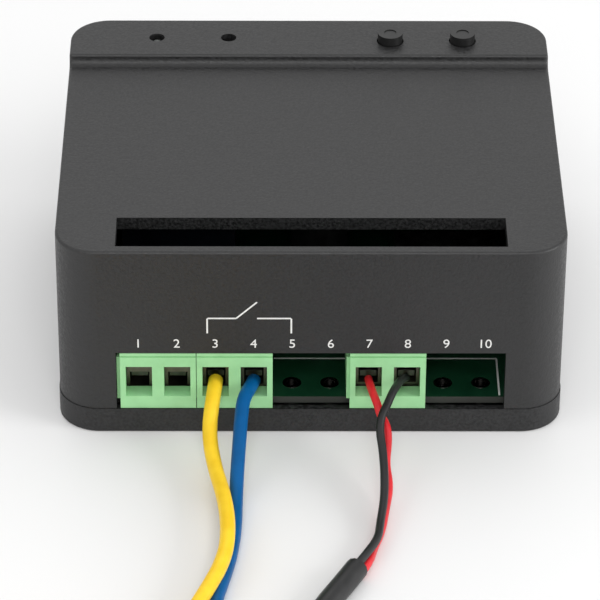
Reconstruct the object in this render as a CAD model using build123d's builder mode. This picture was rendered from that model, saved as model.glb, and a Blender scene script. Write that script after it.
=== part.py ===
from build123d import *
from math import cos, floor, pi, radians, sin, sqrt, tan
import os

os.makedirs("parts", exist_ok=True)

# Case: millimetres, x to the right, y to the back, z up, origin under the middle of the base
CASE_W = 67.2
CASE_D = 59.2
PANEL_Z = 28.4
LEDGE_RISE = 1.5
LEDGE_DEPTH = 10.2
LEDGE_FOOT_R = 1.0
PARTING_Z = 3.7
CORNER_R = 5.5
WALL = 1.5
ROOF = 1.8
EDGE_R = 0.4
FLOOR_T = 1.3
BASE_PROUD = 0.1
BASE_EDGE_R = 0.3
FRONT_Y = -CASE_D / 2
BACK_Y = CASE_D / 2
LEDGE_Y = BACK_Y - LEDGE_DEPTH
LEDGE_Z = PANEL_Z + LEDGE_RISE

# Joint between the halves: a lip of the lid in a step of the base's rim
FIT_GAP = 0.1
STEP_W = 0.6
STEP_H = 1.1
LIP_W = STEP_W - FIT_GAP
LIP_H = STEP_H - FIT_GAP

# Openings in the lid
NOTCH_W = 51.6
NOTCH_TOP = 12.65
SLOT_W = 51.2
SLOT_D = 7.0
LAMP_SHARES = (-0.3190476, -0.1684524)
LAMP_XS = tuple(CASE_W * share for share in LAMP_SHARES)
LAMP_INSET = 5.2
LAMP_Y = BACK_Y - LAMP_INSET
LAMP_HOLE_D = 2.2
BUTTON_PITCH = 10.2
BUTTON_INSET_X = 11.9
BUTTON_INSET_Y = 6.0
BUTTON_XS = (CASE_W / 2 - BUTTON_INSET_X - BUTTON_PITCH, CASE_W / 2 - BUTTON_INSET_X)
BUTTON_Y = BACK_Y - BUTTON_INSET_Y
BUTTON_HOLE_D = 3.8

# Case screws, driven from below through the base and the board into the lid
SIDE_INSET = 4.7
FRONT_INSET = 14.7
BACK_INSET = 5.3
CASE_SCREW_X = CASE_W / 2 - SIDE_INSET
FRONT_SCREW_Y = FRONT_Y + FRONT_INSET
BACK_SCREW_Y = BACK_Y - BACK_INSET
CASE_SCREW_SPOTS = [
    (sx * CASE_SCREW_X, sy) for sx in (-1, 1) for sy in (FRONT_SCREW_Y, BACK_SCREW_Y)
]
POST_D = 6.0
RECESS_D = 4.8
SEAT_Z = 1.6
SCREW_HEAD_D = 4.4
SCREW_HEAD_H = 1.3
SCREW_SHANK_D = 2.3
SCREW_TIP_Z = 12.0
BASE_HOLE_D = 2.7
BOARD_HOLE_D = 2.9
BOSS_D = 5.4
PILOT_D = 2.4
PILOT_TOP_Z = 13.0

# Main board
BOARD_GAP = 0.6
BOARD_W = CASE_W - 2 * (WALL + BOARD_GAP)
BOARD_SETBACK = 2.8
BOARD_BACK_GAP = 2.0
BOARD_FRONT_Y = FRONT_Y + BOARD_SETBACK
BOARD_BACK_Y = BACK_Y - BOARD_BACK_GAP
BOARD_T = 1.0
BOARD_Z = 2.75
BOARD_TOP = BOARD_Z + BOARD_T
BOARD_R = 3.0

# Terminals: ten places at one pitch, three two-way blocks fitted
PITCH = 5.08
PLACES = 10
PLACE_SHIFT = 0.08
PLACE_XS = [(i - (PLACES - 1) / 2) * PITCH + PLACE_SHIFT for i in range(PLACES)]
BLOCK_SETBACK = 0.1
BLOCK_STEP_D = 1.6
BLOCK_D = 11.6
PIN_INSET = 5.95
BLOCK_FRONT_Y = FRONT_Y + BLOCK_SETBACK
BLOCK_STEP_Y = BLOCK_FRONT_Y + BLOCK_STEP_D
BLOCK_BACK_Y = BLOCK_FRONT_Y + BLOCK_D
PIN_Y = BLOCK_FRONT_Y + PIN_INSET
BLOCK_CENTRES = {
    "left": (PLACE_XS[0] + PLACE_XS[1]) / 2,
    "middle": (PLACE_XS[2] + PLACE_XS[3]) / 2,
    "right": (PLACE_XS[6] + PLACE_XS[7]) / 2,
}
EMPTY_XS = (PLACE_XS[4], PLACE_XS[5], PLACE_XS[8], PLACE_XS[9])
BLOCK_W = 10.06
BLOCK_STEP_Z = 12.5
BLOCK_TOP_Z = 15.8
BLOCK_CHAMFER = 1.0
GROOVE_Z = 11.95
GROOVE_H = 0.25
GROOVE_DEPTH = 0.2
RIB_OUT = 0.45
RIB_BACK = 0.5
RIB_LENGTH = 9.0
RIB_BOTTOM_Z = 5.0
RIB_TOP_Z = 11.6
FUNNEL_W = 3.5
FUNNEL_H = 4.7
FUNNEL_Z = 8.0
THROAT_W = 2.5
THROAT_H = 3.6
THROAT_Z = 7.7
FUNNEL_DEPTH = 1.0
CLAMP_INSET = 4.9
CLAMP_Y = BLOCK_FRONT_Y + CLAMP_INSET
CHAMBER_W = 3.8
CHAMBER_D = 5.0
CHAMBER_TOP_Z = 11.9
WEB_TOP_Z = 13.2
WELL_D = 4.0
WEB_HOLE_D = 2.7

# Contact bar of each way, with its solder pin
BAR_W = 2.2
BAR_INSET = 3.3
BAR_L = 7.1
BAR_FRONT_Y = BLOCK_FRONT_Y + BAR_INSET
BAR_BACK_Y = BAR_FRONT_Y + BAR_L
BAR_T = 0.8
BAR_BOTTOM_Z = 6.75
BAR_TOP_Z = 7.65
BAR_FOOT_Z = 3.8
BAR_FOOT_T = 0.4
PIN_D = 1.0
PIN_TIP_Z = 1.65
PIN_HOLE_D = 1.2
EMPTY_HOLE_D = 1.7

# Clamp cage of each way, drawn open; the screw lifts it
CAGE_W = 3.4
CAGE_D = 4.4
CAGE_SIDE = 0.4
CAGE_BOTTOM_Z = 4.5
CAGE_BAR_T = 0.6
CAGE_BEAM_Z = 7.75
CAGE_TOP_Z = 8.95
CAGE_HOLE_D = 2.6
LIFT_OPEN = 0.0
LIFT_THICK = 0.72
LIFT_THIN = 1.02
CLAMPS = {
    "one": (PLACE_XS[0], LIFT_OPEN),
    "two": (PLACE_XS[1], LIFT_OPEN),
    "three": (PLACE_XS[2], LIFT_THICK),
    "four": (PLACE_XS[3], LIFT_THICK),
    "seven": (PLACE_XS[6], LIFT_THIN),
    "eight": (PLACE_XS[7], LIFT_THIN),
}

# Clamp screw of each way
HEAD_D = 3.8
HEAD_BOTTOM_Z = 13.25
HEAD_TOP_Z = 15.0
SHANK_D = 2.5
SHANK_TIP_Z = 7.8
DRIVE_W = 0.6
DRIVE_DEPTH = 0.8

# Indicator board under the ledge
UPPER_SIDE_GAP = 8.1
UPPER_D = 7.6
UPPER_W = CASE_W - 2 * UPPER_SIDE_GAP
UPPER_BACK_Y = BACK_Y - BOARD_BACK_GAP
UPPER_FRONT_Y = UPPER_BACK_Y - UPPER_D
UPPER_Z = 20.9
UPPER_T = 1.0
UPPER_TOP = UPPER_Z + UPPER_T
POST_INSET_Y = 5.6
UPPER_POST_XS = (sum(LAMP_XS) / 2, sum(BUTTON_XS) / 2)
UPPER_POST_Y = BACK_Y - POST_INSET_Y
UPPER_POST_D = 3.4
UPPER_SHANK_D = 1.6
UPPER_PILOT_D = 1.7
UPPER_HOLE_D = 1.9
UPPER_HEAD_D = 3.0
UPPER_HEAD_H = 1.0
UPPER_TIP_Z = 25.6
UPPER_PILOT_TOP_Z = 26.2

# Push switches
SWITCH_W = 6.0
SWITCH_H = 3.5
SWITCH_BORE_D = 4.7
DOME_Z = 23.0
DOME_D = 4.4
DOME_T = 0.08
COVER_T = 0.2
COVER_W = 5.8
STEM_D = 3.5
STEM_TOP_Z = 31.2
STEM_BOTTOM_Z = 23.35
COLLAR_D = 4.4
COLLAR_TOP_Z = 24.6
DIMPLE_D = 1.75
DIMPLE_DEPTH = 0.12

# Lamps: the right one stands lower
LAMP_D = 1.9
LAMP_COLLAR_D = 2.9
LAMP_COLLAR_H = 0.9
LAMP_FOOT_Z = 25.0
LAMP_TIPS = (29.45, 28.3)
LEG_D = 0.5
LEG_PITCH = 1.27
LEG_HOLE_D = 0.8
LEG_TIP_Z = 20.1

# Header between the two boards
HEADER_INSET = 5.8
HEADER_Y = BACK_Y - HEADER_INSET
HEADER_WAYS = 6
HEADER_PITCH = 2.54
HEADER_W = 15.3
HEADER_D = 2.5
SOCKET_H = 8.5
STRIP_H = 2.5
HEADER_PIN_D = 0.64
HEADER_PIN_LOW_Z = 7.5
HEADER_PIN_TOP_Z = 22.6
HEADER_BORE_D = 0.84
HEADER_XS = [(i - (HEADER_WAYS - 1) / 2) * HEADER_PITCH for i in range(HEADER_WAYS)]

# Relay
RELAY_X = -18.0
RELAY_Y = 6.0
RELAY_W = 15.5
RELAY_D = 19.1
RELAY_TOP_Z = 19.05
RELAY_WALL = 0.6
RELAY_BASE_Z = 4.0
RELAY_BASE_T = 1.2
RELAY_GAP = 0.1
COIL_Y = RELAY_Y + 2.0
YOKE_W = 8.0
YOKE_T = 1.2
YOKE_Y = RELAY_Y - 5.5
YOKE_FOOT_Z = RELAY_BASE_Z + RELAY_BASE_T
YOKE_TOP_Z = 15.4
CORE_D = 3.2
POLE_D = 5.5
POLE_T = 0.8
POLE_TOP_Z = 15.0
BOBBIN_BORE_D = 3.3
BOBBIN_TUBE_D = 4.8
BOBBIN_FLANGE_D = 9.6
BOBBIN_FLANGE_T = 0.8
BOBBIN_BOTTOM_Z = YOKE_FOOT_Z + YOKE_T
BOBBIN_TOP_Z = 14.1
WINDING_D = 9.0
ARMATURE_Z = 15.45
ARMATURE_T = 0.9
ARMATURE_W = 8.4
ARMATURE_BACK_Y = COIL_Y + 3.4
RELAY_PIN_SIDE = 1.75
RELAY_PIN_FORE = 1.55
RELAY_PIN_AFT = 3.35
RELAY_PIN_X = RELAY_W / 2 - RELAY_PIN_SIDE
RELAY_PIN_FRONT = RELAY_D / 2 - RELAY_PIN_FORE
RELAY_PIN_BACK = RELAY_D / 2 - RELAY_PIN_AFT
RELAY_PIN_SPOTS = [
    (RELAY_X - RELAY_PIN_X, RELAY_Y - RELAY_PIN_FRONT),
    (RELAY_X + RELAY_PIN_X, RELAY_Y - RELAY_PIN_FRONT),
    (RELAY_X, RELAY_Y - RELAY_PIN_FRONT),
    (RELAY_X - RELAY_PIN_X, RELAY_Y + RELAY_PIN_BACK),
    (RELAY_X + RELAY_PIN_X, RELAY_Y + RELAY_PIN_BACK),
]
RELAY_PIN_HOLE_D = 1.3

# Radio module and the small parts on the board
RADIO_X = 19.5
RADIO_Y = 3.0
RADIO_W = 16.0
RADIO_D = 24.0
RADIO_T = 0.8
SHIELD_W = 14.6
SHIELD_D = 17.6
SHIELD_H = 2.4
SHIELD_WALL = 0.2
SHIELD_Y = RADIO_Y - 2.2
CAPACITORS = [(1.5, 4.0, 8.0, 12.0), (1.5, -5.0, 6.3, 8.0)]
CAPACITOR_EDGE_R = 0.5
INDUCTOR_X = 1.5
INDUCTOR_Y = 13.0
INDUCTOR_W = 7.3
INDUCTOR_H = 4.5
INDUCTOR_R = 1.0
CHIPS = [(9.0, -12.0, 6.5, 4.6, 1.6), (-6.5, -11.0, 4.6, 6.5, 2.4), (20.0, -12.2, 5.0, 4.0, 1.4)]

# Wires: diameters and the bare ends
YELLOW_D = 2.0
BLUE_D = 1.85
CORE_WIRE_D = 1.1
LEAD_D = 3.0
THICK_COPPER_D = 0.9
THIN_COPPER_D = 0.6
INSULATION_IN = 2.0
INSULATION_END_Y = FRONT_Y + INSULATION_IN
COPPER_PAST = 2.1
COPPER_BEFORE = 1.7
COPPER_END_Y = CLAMP_Y + COPPER_PAST
COPPER_BEND_Y = CLAMP_Y - COPPER_BEFORE
COPPER_GAP = 0.15
THICK_COPPER_Z = 6.28
THIN_COPPER_Z = 6.43
RUN_SHARE = 0.45

# Put-away coils: four layers, lifted off the floor by their ties
COIL_GAP = 0.5
COIL_LIFT = 1.0
LAYERS = 4
YELLOW_COIL_OUT = 68.5
BLUE_COIL_OUT = 98.5
LEAD_COIL_OUT = 84.0
YELLOW_COIL = {
    "centre": (-27.0, FRONT_Y - YELLOW_COIL_OUT), "radius": 13.4, "turns": 7 + 70 / 360, "start": 110.0,
    "way": 1, "wire": YELLOW_D,
}
BLUE_COIL = {
    "centre": (-23.5, FRONT_Y - BLUE_COIL_OUT), "radius": 12.8, "turns": 7 + 315 / 360, "start": 0.0,
    "way": -1, "wire": BLUE_D,
}
LEAD_COIL = {
    "centre": (15.5, FRONT_Y - LEAD_COIL_OUT), "radius": 20.2, "turns": 8.5, "start": 180.0,
    "way": 1, "wire": LEAD_D,
}
YELLOW_TAIL_RUNS = (6.0, 15.0, 7.0)
BLUE_TAIL_RUNS = (5.0, 13.5, 5.5)
LEAD_TAIL_RUNS = (6.0, 16.5, 7.0)
FLOOR_GAP = 0.02
TIE_T = 0.7
TIE_GAP = 0.15
TIE_W = 3.0
TIES = [
    (YELLOW_COIL, 45.0), (YELLOW_COIL, 300.0), (BLUE_COIL, 130.0), (BLUE_COIL, 230.0),
    (LEAD_COIL, 90.0), (LEAD_COIL, 270.0),
]


def coil_spot(coil, angle):
    """Centre of the wire after it has swept an angle, in radians, from the coil's start

    radius falls and rises by one pitch a turn, and each time it turns back the wire
    climbs one pitch: z = z0 + pitch * (1 - cos(pi t)) / 2 over the half turn about it
    """
    pitch = coil["wire"] + COIL_GAP
    sweep_all = coil["turns"] * 2 * pi
    layer_sweep = sweep_all / LAYERS
    layer = min(max(floor(angle / layer_sweep), 0), LAYERS - 1)
    slope = pitch / (2 * pi)
    travelled = angle - layer * layer_sweep
    inner = coil["radius"] - slope * layer_sweep
    radius = coil["radius"] - slope * travelled if layer % 2 == 0 else inner + slope * travelled
    height = COIL_LIFT + coil["wire"] / 2
    for reversal in range(1, LAYERS):
        t = min(max((angle - reversal * layer_sweep) / pi + 1 / 2, 0), 1)
        height += pitch * (1 - cos(pi * t)) / 2
    turn = radians(coil["start"]) + coil["way"] * angle
    return Vector(
        coil["centre"][0] + radius * cos(turn), coil["centre"][1] + radius * sin(turn), height
    )


def coil_way(coil, angle):
    """Unit tangent of the coil, from two points close by"""
    nudge = 1e-4
    return (coil_spot(coil, angle + nudge) - coil_spot(coil, angle - nudge)).normalized()


def coil_end(coil, last):
    """End of the coil's solid, one diameter straight on from its first or last turn"""
    if last:
        sweep_all = coil["turns"] * 2 * pi
        return coil_spot(coil, sweep_all) + coil_way(coil, sweep_all) * coil["wire"]
    return coil_spot(coil, 0) - coil_way(coil, 0) * coil["wire"]


def biarc_joint(start, start_way, end, end_way):
    """Middle point and direction of the two tangent arcs that join two directed points"""
    chord = end - start
    a = 2 * start_way.dot(end_way) - 2
    b = -2 * chord.dot(start_way + end_way)
    c = chord.dot(chord)
    reach = (-b - sqrt(b * b - 4 * a * c)) / (2 * a)
    first = start + start_way * reach
    second = end - end_way * reach
    return (first + second) / 2, (second - first).normalized()


def on_from(point, way, distance):
    """Point a distance from another along a direction"""
    return tuple(Vector(*point) + way * distance)


def out(x, reach, z):
    """Point a given reach in front of the case"""
    return (x, FRONT_Y - reach, z)


def level(way):
    """Direction with its rise taken out"""
    return Vector(way.X, way.Y, 0).normalized()


def bend_radii(points):
    """Fillet radius at each inner point: a share of the shorter run over tan(half the turn)"""
    radii = []
    for before, here, after in zip(points, points[1:], points[2:]):
        into = Vector(*here) - Vector(*before)
        onward = Vector(*after) - Vector(*here)
        half_turn = radians(into.get_angle(onward)) / 2
        radii.append(RUN_SHARE * min(into.length, onward.length) / tan(half_turn))
    return radii


# Lid: a box with a raised ledge at its back, hollow, with a notch, a slot and small holes
with BuildPart() as lid:
    with BuildSketch(Plane.XY.offset(PARTING_Z)):
        RectangleRounded(CASE_W, CASE_D, CORNER_R)
    extrude(amount=PANEL_Z - PARTING_Z)
    with BuildSketch(Plane.XY.offset(PANEL_Z)):
        RectangleRounded(CASE_W, CASE_D, CORNER_R)
        with Locations((0, FRONT_Y + (CASE_D - LEDGE_DEPTH) / 2)):
            Rectangle(CASE_W, CASE_D - LEDGE_DEPTH, mode=Mode.SUBTRACT)
    extrude(amount=LEDGE_RISE)
    ledge_foot = [
        e for e in lid.edges().filter_by(Axis.X)
        if abs(e.center().Z - PANEL_Z) < EDGE_R and abs(e.center().Y - LEDGE_Y) < EDGE_R
    ]
    fillet(ledge_foot, LEDGE_FOOT_R)
    top_edges = [e for e in lid.edges() if e.bounding_box().min.Z > PANEL_Z - EDGE_R / 10]
    inner_lines = [
        e for e in top_edges
        if abs(e.center().X) < EDGE_R and FRONT_Y + WALL < e.center().Y < BACK_Y - WALL
        and e.center().Z < LEDGE_Z - EDGE_R / 10
    ]
    fillet([e for e in top_edges if e not in inner_lines], EDGE_R)
    with BuildSketch(Plane.XY.offset(PARTING_Z)):
        RectangleRounded(CASE_W - 2 * WALL, CASE_D - 2 * WALL, CORNER_R - WALL)
    extrude(amount=PANEL_Z - ROOF - PARTING_Z, mode=Mode.SUBTRACT)
    with BuildSketch(Plane.XY.offset(PANEL_Z - ROOF)):
        RectangleRounded(CASE_W - 2 * WALL, CASE_D - 2 * WALL, CORNER_R - WALL)
        with Locations((0, FRONT_Y + (CASE_D - LEDGE_DEPTH + WALL) / 2)):
            Rectangle(CASE_W, CASE_D - LEDGE_DEPTH + WALL, mode=Mode.SUBTRACT)
    extrude(amount=LEDGE_RISE, mode=Mode.SUBTRACT)
    with BuildSketch(Plane.XY.offset(PARTING_Z - LIP_H)):
        RectangleRounded(
            CASE_W - 2 * (WALL - LIP_W), CASE_D - 2 * (WALL - LIP_W), CORNER_R - WALL + LIP_W
        )
        RectangleRounded(
            CASE_W - 2 * WALL, CASE_D - 2 * WALL, CORNER_R - WALL, mode=Mode.SUBTRACT
        )
    extrude(amount=LIP_H)
    with BuildSketch(Plane.XY.offset(BOARD_TOP)):
        with Locations(*CASE_SCREW_SPOTS):
            Circle(BOSS_D / 2)
    extrude(until=Until.NEXT)
    with BuildSketch(Plane.XY.offset(UPPER_TOP)):
        with Locations(*[(x, UPPER_POST_Y) for x in UPPER_POST_XS]):
            Circle(UPPER_POST_D / 2)
    extrude(amount=LEDGE_Z - ROOF - UPPER_TOP)
    with BuildSketch(Plane.XY.offset(BOARD_TOP)):
        with Locations(*CASE_SCREW_SPOTS):
            Circle(PILOT_D / 2)
    extrude(amount=PILOT_TOP_Z - BOARD_TOP, mode=Mode.SUBTRACT)
    with BuildSketch(Plane.XY.offset(UPPER_TOP)):
        with Locations(*[(x, UPPER_POST_Y) for x in UPPER_POST_XS]):
            Circle(UPPER_PILOT_D / 2)
    extrude(amount=UPPER_PILOT_TOP_Z - UPPER_TOP, mode=Mode.SUBTRACT)
    with BuildSketch(Plane.XY.offset(PARTING_Z - LIP_H)):
        with Locations((0, FRONT_Y + WALL / 2)):
            Rectangle(NOTCH_W, 2 * WALL)
    extrude(amount=NOTCH_TOP - PARTING_Z + LIP_H, mode=Mode.SUBTRACT)
    with BuildSketch(Plane.XY.offset(PANEL_Z - ROOF - WALL)):
        with Locations((0, FRONT_Y + WALL + SLOT_D / 2)):
            Rectangle(SLOT_W, SLOT_D)
    extrude(amount=ROOF + 2 * WALL, mode=Mode.SUBTRACT)
    with BuildSketch(Plane.XY.offset(LEDGE_Z - ROOF - EDGE_R)):
        with Locations(*[(x, LAMP_Y) for x in LAMP_XS]):
            Circle(LAMP_HOLE_D / 2)
        with Locations(*[(x, BUTTON_Y) for x in BUTTON_XS]):
            Circle(BUTTON_HOLE_D / 2)
    extrude(amount=ROOF + 2 * EDGE_R, mode=Mode.SUBTRACT)

lid.part.label = "lid"
export_step(lid.part, "parts/lid.step")

# Base: a tray with a stepped rim and four posts for the screws
with BuildPart() as base:
    with BuildSketch(Plane.XY):
        RectangleRounded(
            CASE_W + 2 * BASE_PROUD, CASE_D + 2 * BASE_PROUD, CORNER_R + BASE_PROUD
        )
    extrude(amount=PARTING_Z)
    fillet(base.faces().sort_by(Axis.Z)[0].edges(), BASE_EDGE_R)
    with BuildSketch(Plane.XY.offset(FLOOR_T)):
        RectangleRounded(CASE_W - 2 * WALL, CASE_D - 2 * WALL, CORNER_R - WALL)
    extrude(amount=PARTING_Z - FLOOR_T, mode=Mode.SUBTRACT)
    with BuildSketch(Plane.XY.offset(PARTING_Z - STEP_H)):
        RectangleRounded(
            CASE_W - 2 * (WALL - STEP_W), CASE_D - 2 * (WALL - STEP_W), CORNER_R - WALL + STEP_W
        )
    extrude(amount=STEP_H, mode=Mode.SUBTRACT)
    with BuildSketch(Plane.XY.offset(FLOOR_T)):
        with Locations(*CASE_SCREW_SPOTS):
            Circle(POST_D / 2)
    extrude(amount=BOARD_Z - FLOOR_T)
    with BuildSketch(Plane.XY):
        with Locations(*CASE_SCREW_SPOTS):
            Circle(RECESS_D / 2)
    extrude(amount=SEAT_Z, mode=Mode.SUBTRACT)
    with BuildSketch(Plane.XY):
        with Locations(*CASE_SCREW_SPOTS):
            Circle(BASE_HOLE_D / 2)
    extrude(amount=BOARD_Z, mode=Mode.SUBTRACT)

base.part.label = "base"
export_step(base.part, "parts/base.step")

# Four case screws with cross-shaped drives
with BuildPart() as case_screws:
    with BuildSketch(Plane.XY.offset(SEAT_Z - SCREW_HEAD_H)):
        with Locations(*CASE_SCREW_SPOTS):
            Circle(SCREW_HEAD_D / 2)
    extrude(amount=SCREW_HEAD_H)
    with BuildSketch(Plane.XY.offset(SEAT_Z)):
        with Locations(*CASE_SCREW_SPOTS):
            Circle(SCREW_SHANK_D / 2)
    extrude(amount=SCREW_TIP_Z - SEAT_Z)
    with BuildSketch(Plane.XY.offset(SEAT_Z - SCREW_HEAD_H)):
        with Locations(*CASE_SCREW_SPOTS):
            Rectangle(SCREW_SHANK_D, DRIVE_W)
            Rectangle(DRIVE_W, SCREW_SHANK_D)
    extrude(amount=DRIVE_DEPTH, mode=Mode.SUBTRACT)

case_screws.part.label = "case_screws"
export_step(case_screws.part, "parts/case_screws.step")

# Main board with its holes
with BuildPart() as board:
    with BuildSketch(Plane.XY.offset(BOARD_Z)):
        with Locations((0, (BOARD_FRONT_Y + BOARD_BACK_Y) / 2)):
            RectangleRounded(BOARD_W, BOARD_BACK_Y - BOARD_FRONT_Y, BOARD_R)
        with Locations(*CASE_SCREW_SPOTS):
            Circle(BOARD_HOLE_D / 2, mode=Mode.SUBTRACT)
        with Locations(*[(x, PIN_Y) for x in EMPTY_XS]):
            Circle(EMPTY_HOLE_D / 2, mode=Mode.SUBTRACT)
        with Locations(*[(x, PIN_Y) for x, lift in CLAMPS.values()]):
            Circle(PIN_HOLE_D / 2, mode=Mode.SUBTRACT)
        with Locations(*RELAY_PIN_SPOTS):
            Circle(RELAY_PIN_HOLE_D / 2, mode=Mode.SUBTRACT)
    extrude(amount=BOARD_T)

board.part.label = "board"
export_step(board.part, "parts/board.step")

# Terminal block for two wires, drawn about x = 0 and placed three times
with BuildPart() as block:
    with BuildSketch(Plane.YZ.offset(-BLOCK_W / 2)):
        with BuildLine():
            Polyline(
                (BLOCK_FRONT_Y, BOARD_TOP),
                (BLOCK_FRONT_Y, GROOVE_Z - GROOVE_H / 2),
                (BLOCK_FRONT_Y + GROOVE_DEPTH, GROOVE_Z - GROOVE_H / 2),
                (BLOCK_FRONT_Y + GROOVE_DEPTH, GROOVE_Z + GROOVE_H / 2),
                (BLOCK_FRONT_Y, GROOVE_Z + GROOVE_H / 2),
                (BLOCK_FRONT_Y, BLOCK_STEP_Z),
                (BLOCK_STEP_Y, BLOCK_STEP_Z),
                (BLOCK_STEP_Y, BLOCK_TOP_Z),
                (BLOCK_BACK_Y - BLOCK_CHAMFER, BLOCK_TOP_Z),
                (BLOCK_BACK_Y, BLOCK_TOP_Z - BLOCK_CHAMFER),
                (BLOCK_BACK_Y, BOARD_TOP),
                close=True,
            )
        make_face()
    extrude(amount=BLOCK_W)
    with BuildSketch(Plane.YZ.offset(BLOCK_W / 2)):
        with Locations((
            BLOCK_FRONT_Y + RIB_BACK + RIB_LENGTH / 2, (RIB_BOTTOM_Z + RIB_TOP_Z) / 2
        )):
            Rectangle(RIB_LENGTH + 2 * FIT_GAP, RIB_TOP_Z - RIB_BOTTOM_Z + 2 * FIT_GAP)
    extrude(amount=-RIB_OUT, mode=Mode.SUBTRACT)
    with BuildSketch(Plane.YZ.offset(-BLOCK_W / 2)):
        with Locations((
            BLOCK_FRONT_Y + RIB_BACK + RIB_LENGTH / 2, (RIB_BOTTOM_Z + RIB_TOP_Z) / 2
        )):
            Rectangle(RIB_LENGTH, RIB_TOP_Z - RIB_BOTTOM_Z)
    extrude(amount=-RIB_OUT)
    with BuildSketch(Plane.XY.offset(BOARD_TOP)):
        with Locations((-PITCH / 2, CLAMP_Y), (PITCH / 2, CLAMP_Y)):
            Rectangle(CHAMBER_W, CHAMBER_D)
    extrude(amount=CHAMBER_TOP_Z - BOARD_TOP, mode=Mode.SUBTRACT)
    with BuildSketch(Plane.XY.offset(BOARD_TOP)):
        with Locations(
            (-PITCH / 2, (CLAMP_Y + BAR_BACK_Y + FIT_GAP) / 2),
            (PITCH / 2, (CLAMP_Y + BAR_BACK_Y + FIT_GAP) / 2),
        ):
            Rectangle(BAR_W + 2 * FIT_GAP, BAR_BACK_Y + FIT_GAP - CLAMP_Y)
    extrude(amount=BAR_TOP_Z + FIT_GAP - BOARD_TOP, mode=Mode.SUBTRACT)
    with BuildSketch(Plane.XY.offset(CHAMBER_TOP_Z)):
        with Locations((-PITCH / 2, CLAMP_Y), (PITCH / 2, CLAMP_Y)):
            Circle(WEB_HOLE_D / 2)
    extrude(amount=WEB_TOP_Z - CHAMBER_TOP_Z, mode=Mode.SUBTRACT)
    with BuildSketch(Plane.XY.offset(WEB_TOP_Z)):
        with Locations((-PITCH / 2, CLAMP_Y), (PITCH / 2, CLAMP_Y)):
            Circle(WELL_D / 2)
    extrude(amount=BLOCK_TOP_Z - WEB_TOP_Z, mode=Mode.SUBTRACT)
    for way_x in (-PITCH / 2, PITCH / 2):
        with BuildSketch(Plane.XZ.offset(-BLOCK_FRONT_Y)) as mouth:
            with Locations((way_x, FUNNEL_Z)):
                Rectangle(FUNNEL_W, FUNNEL_H)
        with BuildSketch(Plane.XZ.offset(-BLOCK_FRONT_Y - FUNNEL_DEPTH)) as throat:
            with Locations((way_x, THROAT_Z)):
                Rectangle(THROAT_W, THROAT_H)
        loft(sections=[mouth.sketch, throat.sketch], mode=Mode.SUBTRACT)
        with BuildSketch(Plane.XZ.offset(-BLOCK_FRONT_Y - FUNNEL_DEPTH)):
            with Locations((way_x, THROAT_Z)):
                Rectangle(THROAT_W, THROAT_H)
        extrude(amount=-(CLAMP_Y - BLOCK_FRONT_Y - FUNNEL_DEPTH), mode=Mode.SUBTRACT)

for side, block_x in BLOCK_CENTRES.items():
    with BuildPart() as terminal:
        with Locations((block_x, 0, 0)):
            add(block.part)
    terminal.part.label = f"terminal_{side}"
    export_step(terminal.part, f"parts/terminal_{side}.step")

# Contact bars: a hook of sheet metal in each way, its pin through the board
with BuildPart() as contact_bars:
    for bar_x, bar_lift in CLAMPS.values():
        with BuildSketch(Plane.YZ.offset(bar_x - BAR_W / 2)):
            with BuildLine():
                Polyline(
                    (BAR_FRONT_Y, BAR_BOTTOM_Z),
                    (BAR_FRONT_Y, BAR_TOP_Z),
                    (BAR_BACK_Y, BAR_TOP_Z),
                    (BAR_BACK_Y, BAR_FOOT_Z),
                    (PIN_Y - PIN_D / 2, BAR_FOOT_Z),
                    (PIN_Y - PIN_D / 2, BAR_FOOT_Z + BAR_FOOT_T),
                    (BAR_BACK_Y - BAR_T, BAR_FOOT_Z + BAR_FOOT_T),
                    (BAR_BACK_Y - BAR_T, BAR_BOTTOM_Z),
                    close=True,
                )
            make_face()
        extrude(amount=BAR_W)
    with BuildSketch(Plane.XY.offset(PIN_TIP_Z)):
        with Locations(*[(x, PIN_Y) for x, lift in CLAMPS.values()]):
            Circle(PIN_D / 2)
    extrude(amount=BAR_FOOT_Z - PIN_TIP_Z)

contact_bars.part.label = "contact_bars"
export_step(contact_bars.part, "parts/contact_bars.step")

# Clamp cage, drawn open about x = 0
with BuildPart() as cage:
    with BuildSketch(Plane.XY.offset(CAGE_BOTTOM_Z)):
        with Locations((0, CLAMP_Y)):
            Rectangle(CAGE_W, CAGE_D)
    extrude(amount=CAGE_TOP_Z - CAGE_BOTTOM_Z)
    with BuildSketch(Plane.XY.offset(CAGE_BOTTOM_Z + CAGE_BAR_T)):
        with Locations((0, CLAMP_Y)):
            Rectangle(CAGE_W - 2 * CAGE_SIDE, CAGE_D)
    extrude(amount=CAGE_BEAM_Z - CAGE_BOTTOM_Z - CAGE_BAR_T, mode=Mode.SUBTRACT)
    with BuildSketch(Plane.XY.offset(CAGE_BEAM_Z)):
        with Locations((0, CLAMP_Y)):
            Circle(CAGE_HOLE_D / 2)
    extrude(amount=CAGE_TOP_Z - CAGE_BEAM_Z, mode=Mode.SUBTRACT)

# Clamp screw, drawn about x = 0
with BuildPart() as driver:
    with BuildSketch(Plane.XY.offset(SHANK_TIP_Z)):
        with Locations((0, CLAMP_Y)):
            Circle(SHANK_D / 2)
    extrude(amount=HEAD_BOTTOM_Z - SHANK_TIP_Z)
    with BuildSketch(Plane.XY.offset(HEAD_BOTTOM_Z)):
        with Locations((0, CLAMP_Y)):
            Circle(HEAD_D / 2)
    extrude(amount=HEAD_TOP_Z - HEAD_BOTTOM_Z)
    with BuildSketch(Plane.XY.offset(HEAD_TOP_Z - DRIVE_DEPTH)):
        with Locations((0, CLAMP_Y)):
            Rectangle(HEAD_D, DRIVE_W)
    extrude(amount=DRIVE_DEPTH, mode=Mode.SUBTRACT)

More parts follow.
